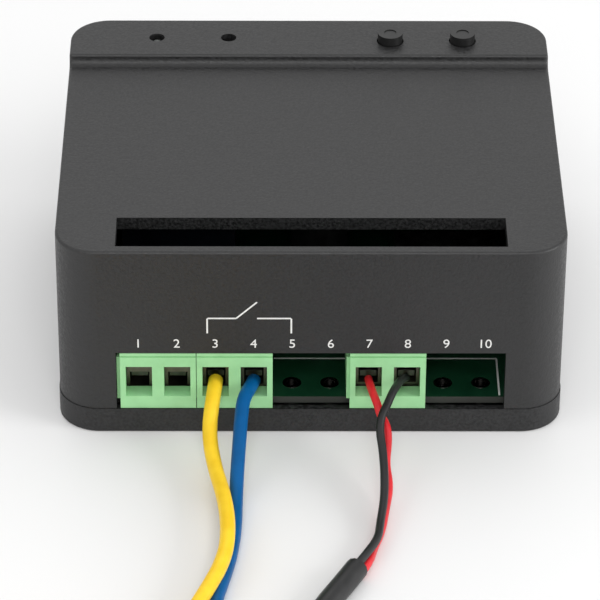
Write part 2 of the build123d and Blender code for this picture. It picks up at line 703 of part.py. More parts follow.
for place, (clamp_x, clamp_lift) in CLAMPS.items():
    with BuildPart() as clamp:
        with Locations((clamp_x, 0, clamp_lift)):
            add(cage.part)
    clamp.part.label = f"clamp_{place}"
    export_step(clamp.part, f"parts/clamp_{place}.step")
    with BuildPart() as clamp_screw:
        with Locations((clamp_x, 0, 0)):
            add(driver.part)
    clamp_screw.part.label = f"screw_{place}"
    export_step(clamp_screw.part, f"parts/screw_{place}.step")

# Indicator board
with BuildPart() as upper_board:
    with BuildSketch(Plane.XY.offset(UPPER_Z)):
        with Locations((0, (UPPER_FRONT_Y + UPPER_BACK_Y) / 2)):
            Rectangle(UPPER_W, UPPER_BACK_Y - UPPER_FRONT_Y)
        with Locations(*[(x, UPPER_POST_Y) for x in UPPER_POST_XS]):
            Circle(UPPER_HOLE_D / 2, mode=Mode.SUBTRACT)
        with Locations(*[(x, HEADER_Y) for x in HEADER_XS]):
            Circle(LEG_HOLE_D / 2, mode=Mode.SUBTRACT)
        with Locations(*[(x + s * LEG_PITCH / 2, LAMP_Y) for x in LAMP_XS for s in (-1, 1)]):
            Circle(LEG_HOLE_D / 2, mode=Mode.SUBTRACT)
    extrude(amount=UPPER_T)

upper_board.part.label = "indicator_board"
export_step(upper_board.part, "parts/indicator_board.step")

# Two small screws that hold the indicator board to the lid
with BuildPart() as upper_screws:
    with BuildSketch(Plane.XY.offset(UPPER_Z - UPPER_HEAD_H)):
        with Locations(*[(x, UPPER_POST_Y) for x in UPPER_POST_XS]):
            Circle(UPPER_HEAD_D / 2)
    extrude(amount=UPPER_HEAD_H)
    with BuildSketch(Plane.XY.offset(UPPER_Z)):
        with Locations(*[(x, UPPER_POST_Y) for x in UPPER_POST_XS]):
            Circle(UPPER_SHANK_D / 2)
    extrude(amount=UPPER_TIP_Z - UPPER_Z)

upper_screws.part.label = "indicator_screws"
export_step(upper_screws.part, "parts/indicator_screws.step")

# Switch bodies, snap domes, covers and the two stems
with BuildPart() as switch_bodies:
    with BuildSketch(Plane.XY.offset(UPPER_TOP)):
        with Locations(*[(x, BUTTON_Y) for x in BUTTON_XS]):
            Rectangle(SWITCH_W, SWITCH_W)
    extrude(amount=SWITCH_H)
    with BuildSketch(Plane.XY.offset(DOME_Z)):
        with Locations(*[(x, BUTTON_Y) for x in BUTTON_XS]):
            Circle(SWITCH_BORE_D / 2)
    extrude(amount=UPPER_TOP + SWITCH_H - DOME_Z, mode=Mode.SUBTRACT)

switch_bodies.part.label = "switch_bodies"
export_step(switch_bodies.part, "parts/switch_bodies.step")

with BuildPart() as snap_domes:
    with BuildSketch(Plane.XY.offset(DOME_Z)):
        with Locations(*[(x, BUTTON_Y) for x in BUTTON_XS]):
            Circle(DOME_D / 2)
    extrude(amount=DOME_T)

snap_domes.part.label = "snap_domes"
export_step(snap_domes.part, "parts/snap_domes.step")

with BuildPart() as switch_covers:
    with BuildSketch(Plane.XY.offset(UPPER_TOP + SWITCH_H)):
        with Locations(*[(x, BUTTON_Y) for x in BUTTON_XS]):
            Rectangle(COVER_W, COVER_W)
            Circle(BUTTON_HOLE_D / 2, mode=Mode.SUBTRACT)
    extrude(amount=COVER_T)

switch_covers.part.label = "switch_covers"
export_step(switch_covers.part, "parts/switch_covers.step")

for hand, button_x in zip(("left", "right"), BUTTON_XS):
    with BuildPart() as button:
        with BuildSketch(Plane.XY.offset(STEM_BOTTOM_Z)):
            with Locations((button_x, BUTTON_Y)):
                Circle(STEM_D / 2)
        extrude(amount=STEM_TOP_Z - STEM_BOTTOM_Z)
        with BuildSketch(Plane.XY.offset(STEM_BOTTOM_Z)):
            with Locations((button_x, BUTTON_Y)):
                Circle(COLLAR_D / 2)
        extrude(amount=COLLAR_TOP_Z - STEM_BOTTOM_Z)
        with BuildSketch(Plane.XY.offset(STEM_TOP_Z - DIMPLE_DEPTH)):
            with Locations((button_x, BUTTON_Y)):
                Circle(DIMPLE_D / 2)
        extrude(amount=DIMPLE_DEPTH, mode=Mode.SUBTRACT)
    button.part.label = f"button_{hand}"
    export_step(button.part, f"parts/button_{hand}.step")

# Lamps and their legs
with BuildPart() as lamps:
    for lamp_x, lamp_tip in zip(LAMP_XS, LAMP_TIPS):
        with BuildSketch(Plane.XY.offset(LAMP_FOOT_Z)):
            with Locations((lamp_x, LAMP_Y)):
                Circle(LAMP_COLLAR_D / 2)
        extrude(amount=LAMP_COLLAR_H)
        with BuildSketch(Plane.XY.offset(LAMP_FOOT_Z)):
            with Locations((lamp_x, LAMP_Y)):
                Circle(LAMP_D / 2)
        extrude(amount=lamp_tip - LAMP_D / 2 - LAMP_FOOT_Z)
        with Locations((lamp_x, LAMP_Y, lamp_tip - LAMP_D / 2)):
            Sphere(LAMP_D / 2)

lamps.part.label = "lamps"
export_step(lamps.part, "parts/lamps.step")

with BuildPart() as lamp_legs:
    with BuildSketch(Plane.XY.offset(LEG_TIP_Z)):
        with Locations(*[(x + s * LEG_PITCH / 2, LAMP_Y) for x in LAMP_XS for s in (-1, 1)]):
            Circle(LEG_D / 2)
    extrude(amount=LAMP_FOOT_Z - LEG_TIP_Z)

lamp_legs.part.label = "lamp_legs"
export_step(lamp_legs.part, "parts/lamp_legs.step")

# Header: a socket on the main board, a strip with long pins on the indicator board
with BuildPart() as header_socket:
    with BuildSketch(Plane.XY.offset(BOARD_TOP)):
        with Locations((0, HEADER_Y)):
            Rectangle(HEADER_W, HEADER_D)
    extrude(amount=SOCKET_H)
    with BuildSketch(Plane.XY.offset(HEADER_PIN_LOW_Z - HEADER_BORE_D)):
        with Locations(*[(x, HEADER_Y) for x in HEADER_XS]):
            Circle(HEADER_BORE_D / 2)
    extrude(amount=BOARD_TOP + SOCKET_H - HEADER_PIN_LOW_Z + HEADER_BORE_D, mode=Mode.SUBTRACT)

header_socket.part.label = "header_socket"
export_step(header_socket.part, "parts/header_socket.step")

with BuildPart() as header_strip:
    with BuildSketch(Plane.XY.offset(UPPER_Z - STRIP_H)):
        with Locations((0, HEADER_Y)):
            Rectangle(HEADER_W, HEADER_D)
        with Locations(*[(x, HEADER_Y) for x in HEADER_XS]):
            Circle(HEADER_PIN_D / 2, mode=Mode.SUBTRACT)
    extrude(amount=STRIP_H)

header_strip.part.label = "header_strip"
export_step(header_strip.part, "parts/header_strip.step")

with BuildPart() as header_pins:
    with BuildSketch(Plane.XY.offset(HEADER_PIN_LOW_Z)):
        with Locations(*[(x, HEADER_Y) for x in HEADER_XS]):
            Circle(HEADER_PIN_D / 2)
    extrude(amount=HEADER_PIN_TOP_Z - HEADER_PIN_LOW_Z)

header_pins.part.label = "header_pins"
export_step(header_pins.part, "parts/header_pins.step")

# Relay: case, base with bobbin, winding, yoke with core, armature and pins
with BuildPart() as relay_case:
    with BuildSketch(Plane.XY.offset(BOARD_TOP)):
        with Locations((RELAY_X, RELAY_Y)):
            Rectangle(RELAY_W, RELAY_D)
    extrude(amount=RELAY_TOP_Z - BOARD_TOP)
    with BuildSketch(Plane.XY.offset(BOARD_TOP)):
        with Locations((RELAY_X, RELAY_Y)):
            Rectangle(RELAY_W - 2 * RELAY_WALL, RELAY_D - 2 * RELAY_WALL)
    extrude(amount=RELAY_TOP_Z - RELAY_WALL - BOARD_TOP, mode=Mode.SUBTRACT)

relay_case.part.label = "relay_case"
export_step(relay_case.part, "parts/relay_case.step")

with BuildPart() as relay_base:
    with BuildSketch(Plane.XY.offset(RELAY_BASE_Z)):
        with Locations((RELAY_X, RELAY_Y)):
            Rectangle(
                RELAY_W - 2 * (RELAY_WALL + RELAY_GAP), RELAY_D - 2 * (RELAY_WALL + RELAY_GAP)
            )
    extrude(amount=RELAY_BASE_T)

relay_base.part.label = "relay_base"
export_step(relay_base.part, "parts/relay_base.step")

with BuildPart() as relay_bobbin:
    with BuildSketch(Plane.XY.offset(BOBBIN_BOTTOM_Z)):
        with Locations((RELAY_X, COIL_Y)):
            Circle(BOBBIN_FLANGE_D / 2)
    extrude(amount=BOBBIN_FLANGE_T)
    with BuildSketch(Plane.XY.offset(BOBBIN_BOTTOM_Z)):
        with Locations((RELAY_X, COIL_Y)):
            Circle(BOBBIN_TUBE_D / 2)
    extrude(amount=BOBBIN_TOP_Z - BOBBIN_BOTTOM_Z)
    with BuildSketch(Plane.XY.offset(BOBBIN_TOP_Z - BOBBIN_FLANGE_T)):
        with Locations((RELAY_X, COIL_Y)):
            Circle(BOBBIN_FLANGE_D / 2)
    extrude(amount=BOBBIN_FLANGE_T)
    with BuildSketch(Plane.XY.offset(BOBBIN_BOTTOM_Z)):
        with Locations((RELAY_X, COIL_Y)):
            Circle(BOBBIN_BORE_D / 2)
    extrude(amount=BOBBIN_TOP_Z - BOBBIN_BOTTOM_Z, mode=Mode.SUBTRACT)

relay_bobbin.part.label = "relay_bobbin"
export_step(relay_bobbin.part, "parts/relay_bobbin.step")

with BuildPart() as relay_winding:
    with BuildSketch(Plane.XY.offset(BOBBIN_BOTTOM_Z + BOBBIN_FLANGE_T)):
        with Locations((RELAY_X, COIL_Y)):
            Circle(WINDING_D / 2)
            Circle(BOBBIN_TUBE_D / 2, mode=Mode.SUBTRACT)
    extrude(amount=BOBBIN_TOP_Z - BOBBIN_BOTTOM_Z - 2 * BOBBIN_FLANGE_T)

relay_winding.part.label = "relay_winding"
export_step(relay_winding.part, "parts/relay_winding.step")

with BuildPart() as relay_yoke:
    with BuildSketch(Plane.XY.offset(YOKE_FOOT_Z)):
        with Locations((RELAY_X, (YOKE_Y - YOKE_T / 2 + COIL_Y + CORE_D) / 2)):
            Rectangle(YOKE_W, COIL_Y + CORE_D - YOKE_Y + YOKE_T / 2)
    extrude(amount=YOKE_T)
    with BuildSketch(Plane.XY.offset(YOKE_FOOT_Z)):
        with Locations((RELAY_X, YOKE_Y)):
            Rectangle(YOKE_W, YOKE_T)
    extrude(amount=YOKE_TOP_Z - YOKE_FOOT_Z)
    with BuildSketch(Plane.XY.offset(YOKE_FOOT_Z)):
        with Locations((RELAY_X, COIL_Y)):
            Circle(CORE_D / 2)
    extrude(amount=POLE_TOP_Z - YOKE_FOOT_Z)
    with BuildSketch(Plane.XY.offset(POLE_TOP_Z - POLE_T)):
        with Locations((RELAY_X, COIL_Y)):
            Circle(POLE_D / 2)
    extrude(amount=POLE_T)

relay_yoke.part.label = "relay_yoke"
export_step(relay_yoke.part, "parts/relay_yoke.step")

with BuildPart() as relay_armature:
    with BuildSketch(Plane.XY.offset(ARMATURE_Z)):
        with Locations((RELAY_X, (YOKE_Y - YOKE_T / 2 + ARMATURE_BACK_Y) / 2)):
            Rectangle(ARMATURE_W, ARMATURE_BACK_Y - YOKE_Y + YOKE_T / 2)
    extrude(amount=ARMATURE_T)

relay_armature.part.label = "relay_armature"
export_step(relay_armature.part, "parts/relay_armature.step")

with BuildPart() as relay_pins:
    with BuildSketch(Plane.XY.offset(PIN_TIP_Z)):
        with Locations(*RELAY_PIN_SPOTS):
            Circle(PIN_D / 2)
    extrude(amount=RELAY_BASE_Z - PIN_TIP_Z)

relay_pins.part.label = "relay_pins"
export_step(relay_pins.part, "parts/relay_pins.step")

# Radio module and its shield
with BuildPart() as radio_board:
    with BuildSketch(Plane.XY.offset(BOARD_TOP)):
        with Locations((RADIO_X, RADIO_Y)):
            Rectangle(RADIO_W, RADIO_D)
    extrude(amount=RADIO_T)

radio_board.part.label = "radio_board"
export_step(radio_board.part, "parts/radio_board.step")

with BuildPart() as radio_shield:
    with BuildSketch(Plane.XY.offset(BOARD_TOP + RADIO_T)):
        with Locations((RADIO_X, SHIELD_Y)):
            Rectangle(SHIELD_W, SHIELD_D)
    extrude(amount=SHIELD_H)
    with BuildSketch(Plane.XY.offset(BOARD_TOP + RADIO_T)):
        with Locations((RADIO_X, SHIELD_Y)):
            Rectangle(SHIELD_W - 2 * SHIELD_WALL, SHIELD_D - 2 * SHIELD_WALL)
    extrude(amount=SHIELD_H - SHIELD_WALL, mode=Mode.SUBTRACT)

radio_shield.part.label = "radio_shield"
export_step(radio_shield.part, "parts/radio_shield.step")

# Capacitors, inductor and chips
with BuildPart() as capacitors:
    for cap_x, cap_y, cap_d, cap_h in CAPACITORS:
        with BuildSketch(Plane.XY.offset(BOARD_TOP)):
            with Locations((cap_x, cap_y)):
                Circle(cap_d / 2)
        extrude(amount=cap_h)
    fillet(capacitors.edges().filter_by(GeomType.CIRCLE), CAPACITOR_EDGE_R)

capacitors.part.label = "capacitors"
export_step(capacitors.part, "parts/capacitors.step")

with BuildPart() as inductor:
    with BuildSketch(Plane.XY.offset(BOARD_TOP)):
        with Locations((INDUCTOR_X, INDUCTOR_Y)):
            RectangleRounded(INDUCTOR_W, INDUCTOR_W, INDUCTOR_R)
    extrude(amount=INDUCTOR_H)

inductor.part.label = "inductor"
export_step(inductor.part, "parts/inductor.step")

with BuildPart() as chips:
    for chip_x, chip_y, chip_w, chip_d, chip_h in CHIPS:
        with BuildSketch(Plane.XY.offset(BOARD_TOP)):
            with Locations((chip_x, chip_y)):
                Rectangle(chip_w, chip_d)
        extrude(amount=chip_h)

chips.part.label = "chips"
export_step(chips.part, "parts/chips.step")

# Routes of the wires: out of the terminals, down to the floor and on to the coils
YELLOW_IN = coil_end(YELLOW_COIL, False)
BLUE_IN = coil_end(BLUE_COIL, False)
LEAD_IN = coil_end(LEAD_COIL, False)
YELLOW_ROUTE = [
    (PLACE_XS[2], INSULATION_END_Y, 6.9),
    out(-12.85, 1.6, 7.3),
    out(-13.5, 6.2, 4.2),
    out(-12.6, 12.0, 2.6),
    out(-11.3, 18.5, 2.9),
    out(-10.65, 25.5, 3.25),
    out(-11.0, 32.0, 3.2),
    out(-13.3, 38.5, 2.8),
    out(-17.2, 46.0, 1.1),
    on_from(YELLOW_IN, coil_way(YELLOW_COIL, 0), -6.0),
    tuple(YELLOW_IN),
]
BLUE_ROUTE = [
    (PLACE_XS[3], INSULATION_END_Y, 6.95),
    out(-8.0, 0.4, 7.45),
    out(-8.85, 2.7, 7.3),
    out(-9.15, 5.0, 6.45),
    out(-9.35, 8.4, 5.1),
    out(-9.6, 12.3, 3.4),
    out(-9.8, 16.8, 1.3),
    out(-9.85, 22.8, 0.94),
    out(-10.3, 28.4, 0.94),
    out(-11.3, 33.8, 0.94),
    out(-12.3, 38.4, 0.94),
    out(-12.4, 46.9, 0.94),
    out(-10.4, 58.4, 0.94),
    out(-9.7, 73.4, 1.2),
    on_from(BLUE_IN, coil_way(BLUE_COIL, 0), -9.0),
    tuple(BLUE_IN),
]
LEAD_START = out(5.65, 32.0, 1.52)
LEAD_WAY = Vector(-0.455, -0.89, 0).normalized()
LEAD_SIDE = Vector(0.89, -0.455, 0).normalized()
LEAD_ROUTE = [
    LEAD_START,
    on_from(LEAD_START, LEAD_WAY, 4.9),
    out(1.45, 39.9, 1.52),
    out(-1.9, 48.0, 1.52),
    out(-4.4, 59.4, 1.52),
    on_from(LEAD_IN, coil_way(LEAD_COIL, 0), -13.0),
    tuple(LEAD_IN),
]
RED_END = on_from(LEAD_START, LEAD_SIDE * 0.7 + Vector(0, 0, -0.45), 1.0)
BLACK_END = on_from(LEAD_START, LEAD_SIDE * 0.1 + Vector(0, 0, 0.6), 1.0)
RED_ROUTE = [
    (PLACE_XS[6], INSULATION_END_Y, 7.2),
    out(8.0, 1.0, 7.65),
    out(8.8, 3.8, 7.1),
    out(9.15, 5.3, 6.4),
    out(10.0, 7.0, 5.9),
    out(10.15, 8.8, 4.6),
    out(9.74, 12.0, 3.3),
    out(10.24, 15.4, 2.2),
    out(9.61, 19.2, 1.35),
    out(8.96, 23.3, 0.64),
    out(7.93, 26.6, 0.67),
    on_from(RED_END, LEAD_WAY, -2.2),
    RED_END,
]
BLACK_ROUTE = [
    (PLACE_XS[7], INSULATION_END_Y, 7.4),
    out(12.2, -0.7, 8.2),
    out(11.5, 1.5, 8.75),
    out(10.75, 3.4, 8.7),
    out(10.05, 5.3, 8.1),
    out(9.25, 7.1, 7.6),
    out(8.95, 9.0, 6.5),
    out(9.38, 11.6, 5.0),
    out(9.52, 15.0, 3.74),
    out(9.42, 18.8, 2.58),
    out(8.82, 22.8, 1.85),
    out(8.49, 26.2, 1.8),
    on_from(BLACK_END, LEAD_WAY, -2.2),
    BLACK_END,
]

# Short tails from the tops of the coils down to the floor
YELLOW_OUT = coil_end(YELLOW_COIL, True)
BLUE_OUT = coil_end(BLUE_COIL, True)
LEAD_OUT = coil_end(LEAD_COIL, True)
YELLOW_OUT_WAY = coil_way(YELLOW_COIL, YELLOW_COIL["turns"] * 2 * pi)
BLUE_OUT_WAY = coil_way(BLUE_COIL, BLUE_COIL["turns"] * 2 * pi)
LEAD_OUT_WAY = coil_way(LEAD_COIL, LEAD_COIL["turns"] * 2 * pi)


def tail_route(start, way, runs, wire_d):
    """Level, down a slope and level again on the floor, all in one upright plane"""
    flat = level(way)
    level_run, fall_run, floor_run = runs
    top = Vector(*start) + flat * level_run
    foot = top + flat * fall_run
    foot.Z = wire_d / 2 + FLOOR_GAP
    return [tuple(start), tuple(top), tuple(foot), tuple(foot + flat * floor_run)]


YELLOW_TAIL = tail_route(YELLOW_OUT, YELLOW_OUT_WAY, YELLOW_TAIL_RUNS, YELLOW_D)
BLUE_TAIL = tail_route(BLUE_OUT, BLUE_OUT_WAY, BLUE_TAIL_RUNS, BLUE_D)
LEAD_TAIL = tail_route(LEAD_OUT, LEAD_OUT_WAY, LEAD_TAIL_RUNS, LEAD_D)

WIRES = {
    "yellow_wire": (YELLOW_ROUTE, YELLOW_D),
    "blue_wire": (BLUE_ROUTE, BLUE_D),
    "red_core": (RED_ROUTE, CORE_WIRE_D),
    "black_core": (BLACK_ROUTE, CORE_WIRE_D),
    "lead": (LEAD_ROUTE, LEAD_D),
    "yellow_tail": (YELLOW_TAIL, YELLOW_D),
    "blue_tail": (BLUE_TAIL, BLUE_D),
    "lead_tail": (LEAD_TAIL, LEAD_D),
}
for wire_name, (wire_points, wire_d) in WIRES.items():
    wire_radii = bend_radii(wire_points)
    with BuildPart() as wire:
        with BuildLine() as wire_path:
            FilletPolyline(*wire_points, radius=wire_radii)
        with BuildSketch(Plane(origin=wire_path.wire() @ 0, z_dir=wire_path.wire() % 0)):
            Circle(wire_d / 2)
        sweep(path=wire_path.wire())
    ideal = pi * wire_d**2 / 4 * wire_path.wire().length
    print(wire_name, "length", round(wire_path.wire().length, 1), "volume share",
          round(wire.part.volume / ideal, 4), "radii", [round(r, 1) for r in wire_radii])
    wire.part.label = wire_name
    export_step(wire.part, f"parts/{wire_name}.step")

# Put-away coils, one unbroken tube each
COILS = {"yellow_coil": YELLOW_COIL, "blue_coil": BLUE_COIL, "lead_coil": LEAD_COIL}
for coil_name, coil in COILS.items():
    sweep_all = coil["turns"] * 2 * pi
    steps = round(sweep_all / (pi / 2))
    angles = [sweep_all * i / steps for i in range(steps + 1)]
    spots = [coil_spot(coil, a) for a in angles]
    ways = [coil_way(coil, a) for a in angles]
    with BuildPart() as wound:
        with BuildLine() as wound_path:
            Line(coil_end(coil, False), spots[0])
            for i in range(steps):
                middle, middle_way = biarc_joint(spots[i], ways[i], spots[i + 1], ways[i + 1])
                TangentArc(spots[i], middle, tangent=ways[i])
                TangentArc(middle, spots[i + 1], tangent=middle_way)
            Line(spots[-1], coil_end(coil, True))
        with BuildSketch(Plane(origin=coil_end(coil, False), z_dir=ways[0])):
            Circle(coil["wire"] / 2)
        sweep(path=wound_path.wire())
    wound_wire = wound_path.wire()
    marks = [wound_wire @ (i / (steps * 12)) for i in range(steps * 12 + 1)]
    apart = wound_wire.length / (steps * 12)
    skip = round(4 * coil["wire"] / apart)
    least = min(
        (marks[i] - marks[j]).length
        for i in range(len(marks)) for j in range(i + skip, len(marks))
    )
    ideal = pi * coil["wire"]**2 / 4 * wound_wire.length
    print(coil_name, "length", round(wound_wire.length, 1), "least gap",
          round(least - coil["wire"], 3), "volume share", round(wound.part.volume / ideal, 4))
    wound.part.label = coil_name
    export_step(wound.part, f"parts/{coil_name}.step")

# Ties: a strap round each coil in two places
with BuildPart() as coil_ties:
    for coil, tie_angle in TIES:
        pitch = coil["wire"] + COIL_GAP
        band = pitch * coil["turns"] / LAYERS
        high = pitch * (LAYERS - 1) + coil["wire"]
        turn = radians(tie_angle)
        out_way = Vector(cos(turn), sin(turn), 0)
        centre = Vector(*coil["centre"], COIL_LIFT + high / 2)
        middle = centre + out_way * (coil["radius"] - band / 2)
        tie_plane = Plane(
            origin=middle, x_dir=out_way, z_dir=Vector(sin(turn), -cos(turn), 0)
        )
        with BuildSketch(tie_plane):
            Rectangle(
                band + coil["wire"] + 2 * (TIE_GAP + TIE_T), high + 2 * (TIE_GAP + TIE_T)
            )
            Rectangle(
                band + coil["wire"] + 2 * TIE_GAP, high + 2 * TIE_GAP, mode=Mode.SUBTRACT
            )
        extrude(amount=TIE_W / 2, both=True)

coil_ties.part.label = "coil_ties"
export_step(coil_ties.part, "parts/coil_ties.step")

# Bare copper inside the terminals
with BuildPart() as conductors:
    for wire_start, copper_d, copper_z in (
        (YELLOW_ROUTE[0], THICK_COPPER_D, THICK_COPPER_Z),
        (BLUE_ROUTE[0], THICK_COPPER_D, THICK_COPPER_Z),
        (RED_ROUTE[0], THIN_COPPER_D, THIN_COPPER_Z),
        (BLACK_ROUTE[0], THIN_COPPER_D, THIN_COPPER_Z),
    ):
        copper_points = [
            wire_start,
            (wire_start[0], COPPER_BEND_Y, copper_z),
            (wire_start[0], COPPER_END_Y, copper_z),
        ]
        copper_way = (Vector(*copper_points[1]) - Vector(*copper_points[0])).normalized()
        copper_points[0] = on_from(copper_points[0], copper_way, COPPER_GAP)
        with BuildLine() as copper_path:
            FilletPolyline(*copper_points, radius=bend_radii(copper_points))
        with BuildSketch(Plane(origin=copper_path.wire() @ 0, z_dir=copper_path.wire() % 0)):
            Circle(copper_d / 2)
        sweep(path=copper_path.wire())

conductors.part.label = "conductors"
export_step(conductors.part, "parts/conductors.step")

# Far ends: the lead's two cores, and bare copper on every wire
CORE_END_L = 5.0
BARE_L = 5.0
LEAD_END = Vector(*LEAD_TAIL[-1])
LEAD_END_WAY = level(LEAD_OUT_WAY)
LEAD_END_SIDE = LEAD_END_WAY.cross(Vector(0, 0, 1)) * 0.68
for core_name, core_side in (("red_end", 1), ("black_end", -1)):
    with BuildPart() as core_end:
        with BuildSketch(Plane(origin=LEAD_END + LEAD_END_SIDE * core_side, z_dir=LEAD_END_WAY)):
            Circle(CORE_WIRE_D / 2)
        extrude(amount=CORE_END_L)
    core_end.part.label = core_name
    export_step(core_end.part, f"parts/{core_name}.step")

with BuildPart() as bare_ends:
    for end_point, end_way, end_d in (
        (Vector(*YELLOW_TAIL[-1]), level(YELLOW_OUT_WAY), THICK_COPPER_D),
        (Vector(*BLUE_TAIL[-1]), level(BLUE_OUT_WAY), THICK_COPPER_D),
        (LEAD_END + LEAD_END_SIDE + LEAD_END_WAY * CORE_END_L, LEAD_END_WAY, THIN_COPPER_D),
        (LEAD_END - LEAD_END_SIDE + LEAD_END_WAY * CORE_END_L, LEAD_END_WAY, THIN_COPPER_D),
    ):
        with BuildSketch(Plane(origin=end_point, z_dir=end_way)):
            Circle(end_d / 2)
        extrude(amount=BARE_L)

bare_ends.part.label = "bare_ends"
export_step(bare_ends.part, "parts/bare_ends.step")

for route_name, (route_points, route_d) in WIRES.items():
    print(route_name, [tuple(round(v, 2) for v in p) for p in route_points])
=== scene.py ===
# %% [markdown]
# # A gate control module
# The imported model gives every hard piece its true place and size. This lesson dresses it: it makes the
# wires as smooth curves, adds the thin printed lines and rings that solids leave out, gives every piece
# a procedural material, and sets up the light and the camera of the photograph.

# %% Load the frame
import math

import bmesh
import bpy
import numpy as np
from mathutils import Matrix, Vector


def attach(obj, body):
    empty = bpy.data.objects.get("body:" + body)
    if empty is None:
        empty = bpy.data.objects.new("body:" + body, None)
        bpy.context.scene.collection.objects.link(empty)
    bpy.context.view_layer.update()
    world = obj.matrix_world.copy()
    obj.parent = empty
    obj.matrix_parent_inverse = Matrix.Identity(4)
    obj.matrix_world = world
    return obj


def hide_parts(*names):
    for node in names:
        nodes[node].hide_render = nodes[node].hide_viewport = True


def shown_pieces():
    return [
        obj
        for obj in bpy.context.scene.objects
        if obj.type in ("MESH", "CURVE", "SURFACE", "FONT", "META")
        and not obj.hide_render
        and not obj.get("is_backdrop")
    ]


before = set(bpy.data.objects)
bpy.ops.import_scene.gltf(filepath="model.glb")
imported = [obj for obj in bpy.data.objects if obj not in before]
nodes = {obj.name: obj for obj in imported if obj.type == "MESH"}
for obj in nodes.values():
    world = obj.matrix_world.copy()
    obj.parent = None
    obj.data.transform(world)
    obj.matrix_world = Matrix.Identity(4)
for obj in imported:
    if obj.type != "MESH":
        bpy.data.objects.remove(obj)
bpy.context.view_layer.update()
MM = 0.001

# %% [markdown]
# ## The camera
# A long lens far away looks down at about 33 degrees. Its place came from fitting the case's edges in
# the picture, so the camera is written down as numbers: where it stands, how it tilts, how it turns
# and how much it rolls. The lens follows from the focal length in pixels of a 600 pixel picture.

# %% Camera of the photograph
FOCAL_PX = 3800.65
FRAME_PX = 600
SENSOR_MM = 36.0
CLIP_NEAR = 0.01
CLIP_FAR = 20
CAMERA_AT = Vector((-0.005131, -0.44476, 0.294471))
TILT = math.radians(33.367)
TURN = math.radians(0.504)
ROLL = math.radians(0.344)


def camera_axes(tilt, turn, roll):
    """Forward, right and up of a camera that looks along +Y, turned, tilted down and rolled"""
    forward = Vector((math.sin(turn) * math.cos(tilt), math.cos(turn) * math.cos(tilt), -math.sin(tilt)))
    right = Vector((math.cos(turn), -math.sin(turn), 0))
    up = right.cross(forward)
    rolled_right = right * math.cos(roll) + up * math.sin(roll)
    rolled_up = -right * math.sin(roll) + up * math.cos(roll)
    return forward, rolled_right, rolled_up


forward, right, up = camera_axes(TILT, TURN, ROLL)
lens_data = bpy.data.cameras.new("camera")
lens_data.sensor_width = SENSOR_MM
lens_data.lens = FOCAL_PX * SENSOR_MM / FRAME_PX
lens_data.clip_start = CLIP_NEAR
lens_data.clip_end = CLIP_FAR
camera = bpy.data.objects.new("camera", lens_data)
bpy.context.scene.collection.objects.link(camera)
turned = Matrix((right, up, -forward)).transposed().to_4x4()
camera.matrix_world = Matrix.Translation(CAMERA_AT) @ turned
bpy.context.scene.camera = camera
print("lens", round(lens_data.lens, 2), "mm")

# %% [markdown]
# ## The wires
# A wire is a smooth line with a round section. A NURBS curve goes near its control points and never
# has a kink, so a route of a few points makes a soft, natural line, and a bevel gives it thickness.
# The part of each wire that the photograph doesn't show is wound into a coil in front of the case.
# The coil's points follow one formula: the radius falls and rises by one pitch a turn, and the wire
# climbs a layer each time it turns back.

# %% A put-away coil as control points
COIL_GAP = 0.5
COIL_LIFT = 1.0
LAYERS = 4
POINTS_A_TURN = 16


def coil_points(centre, radius, turns, start, way, wire):
    """Points of a coil wound in four layers, in millimetres

    r(a) is a triangle wave of slope pitch / (2 pi) that starts at the outer radius.
    z(a) = lift + wire / 2 + pitch * sum of (1 - cos(pi t)) / 2 over the reversals, where t runs
    from 0 to 1 over the half turn about each. The radius is divided by the share that a quadratic
    spline cuts off a round polygon.
    """
    pitch = wire + COIL_GAP
    sweep = turns * 2 * math.pi
    layer_sweep = sweep / LAYERS
    count = round(turns * POINTS_A_TURN)
    a = np.linspace(0, sweep, count + 1)
    layer = np.clip(np.floor(a / layer_sweep), 0, LAYERS - 1)
    travelled = (a - layer * layer_sweep) * pitch / (2 * math.pi)
    inner = radius - layer_sweep * pitch / (2 * math.pi)
    r = np.where(layer % 2 == 0, radius - travelled, inner + travelled)
    half_step = math.pi / POINTS_A_TURN
    r = r / ((3 + math.cos(2 * half_step)) / 4)
    z = np.full_like(a, COIL_LIFT + wire / 2)
    for reversal in range(1, LAYERS):
        t = np.clip((a - reversal * layer_sweep) / math.pi + 1 / 2, 0, 1)
        z += pitch * (1 - np.cos(math.pi * t)) / 2
    turn = math.radians(start) + way * a
    return np.column_stack([centre[0] + r * np.cos(turn), centre[1] + r * np.sin(turn), z])


# %% A wire from its control points
STEPS_A_POINT = 6
BEVEL_STEPS = 5
SPLINE_ORDER = 3


def wire_curve(name, points_mm, diameter_mm):
    """One open quadratic NURBS spline through a round bevel, in metres

    Half the thickness = bevel depth times the points' radius. The radius carries the half
    millimetre, because a curve's box reaches one radius past its points: a radius of 1 would make
    the box a metre too large.
    """
    data = bpy.data.curves.new(name, "CURVE")
    data.dimensions = "3D"
    data.resolution_u = STEPS_A_POINT
    data.bevel_depth = diameter_mm
    data.bevel_resolution = BEVEL_STEPS
    data.use_fill_caps = True
    spline = data.splines.new("NURBS")
    points = np.asarray(points_mm) * MM
    spline.points.add(len(points) - 1)
    spline.points.foreach_set("co", np.column_stack([points, np.ones(len(points))]).ravel())
    spline.points.foreach_set("radius", np.full(len(points), MM / 2))
    spline.order_u = SPLINE_ORDER
    spline.use_endpoint_u = True
    wire = bpy.data.objects.new(name, data)
    bpy.context.scene.collection.objects.link(wire)
    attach(wire, "root")
    return wire


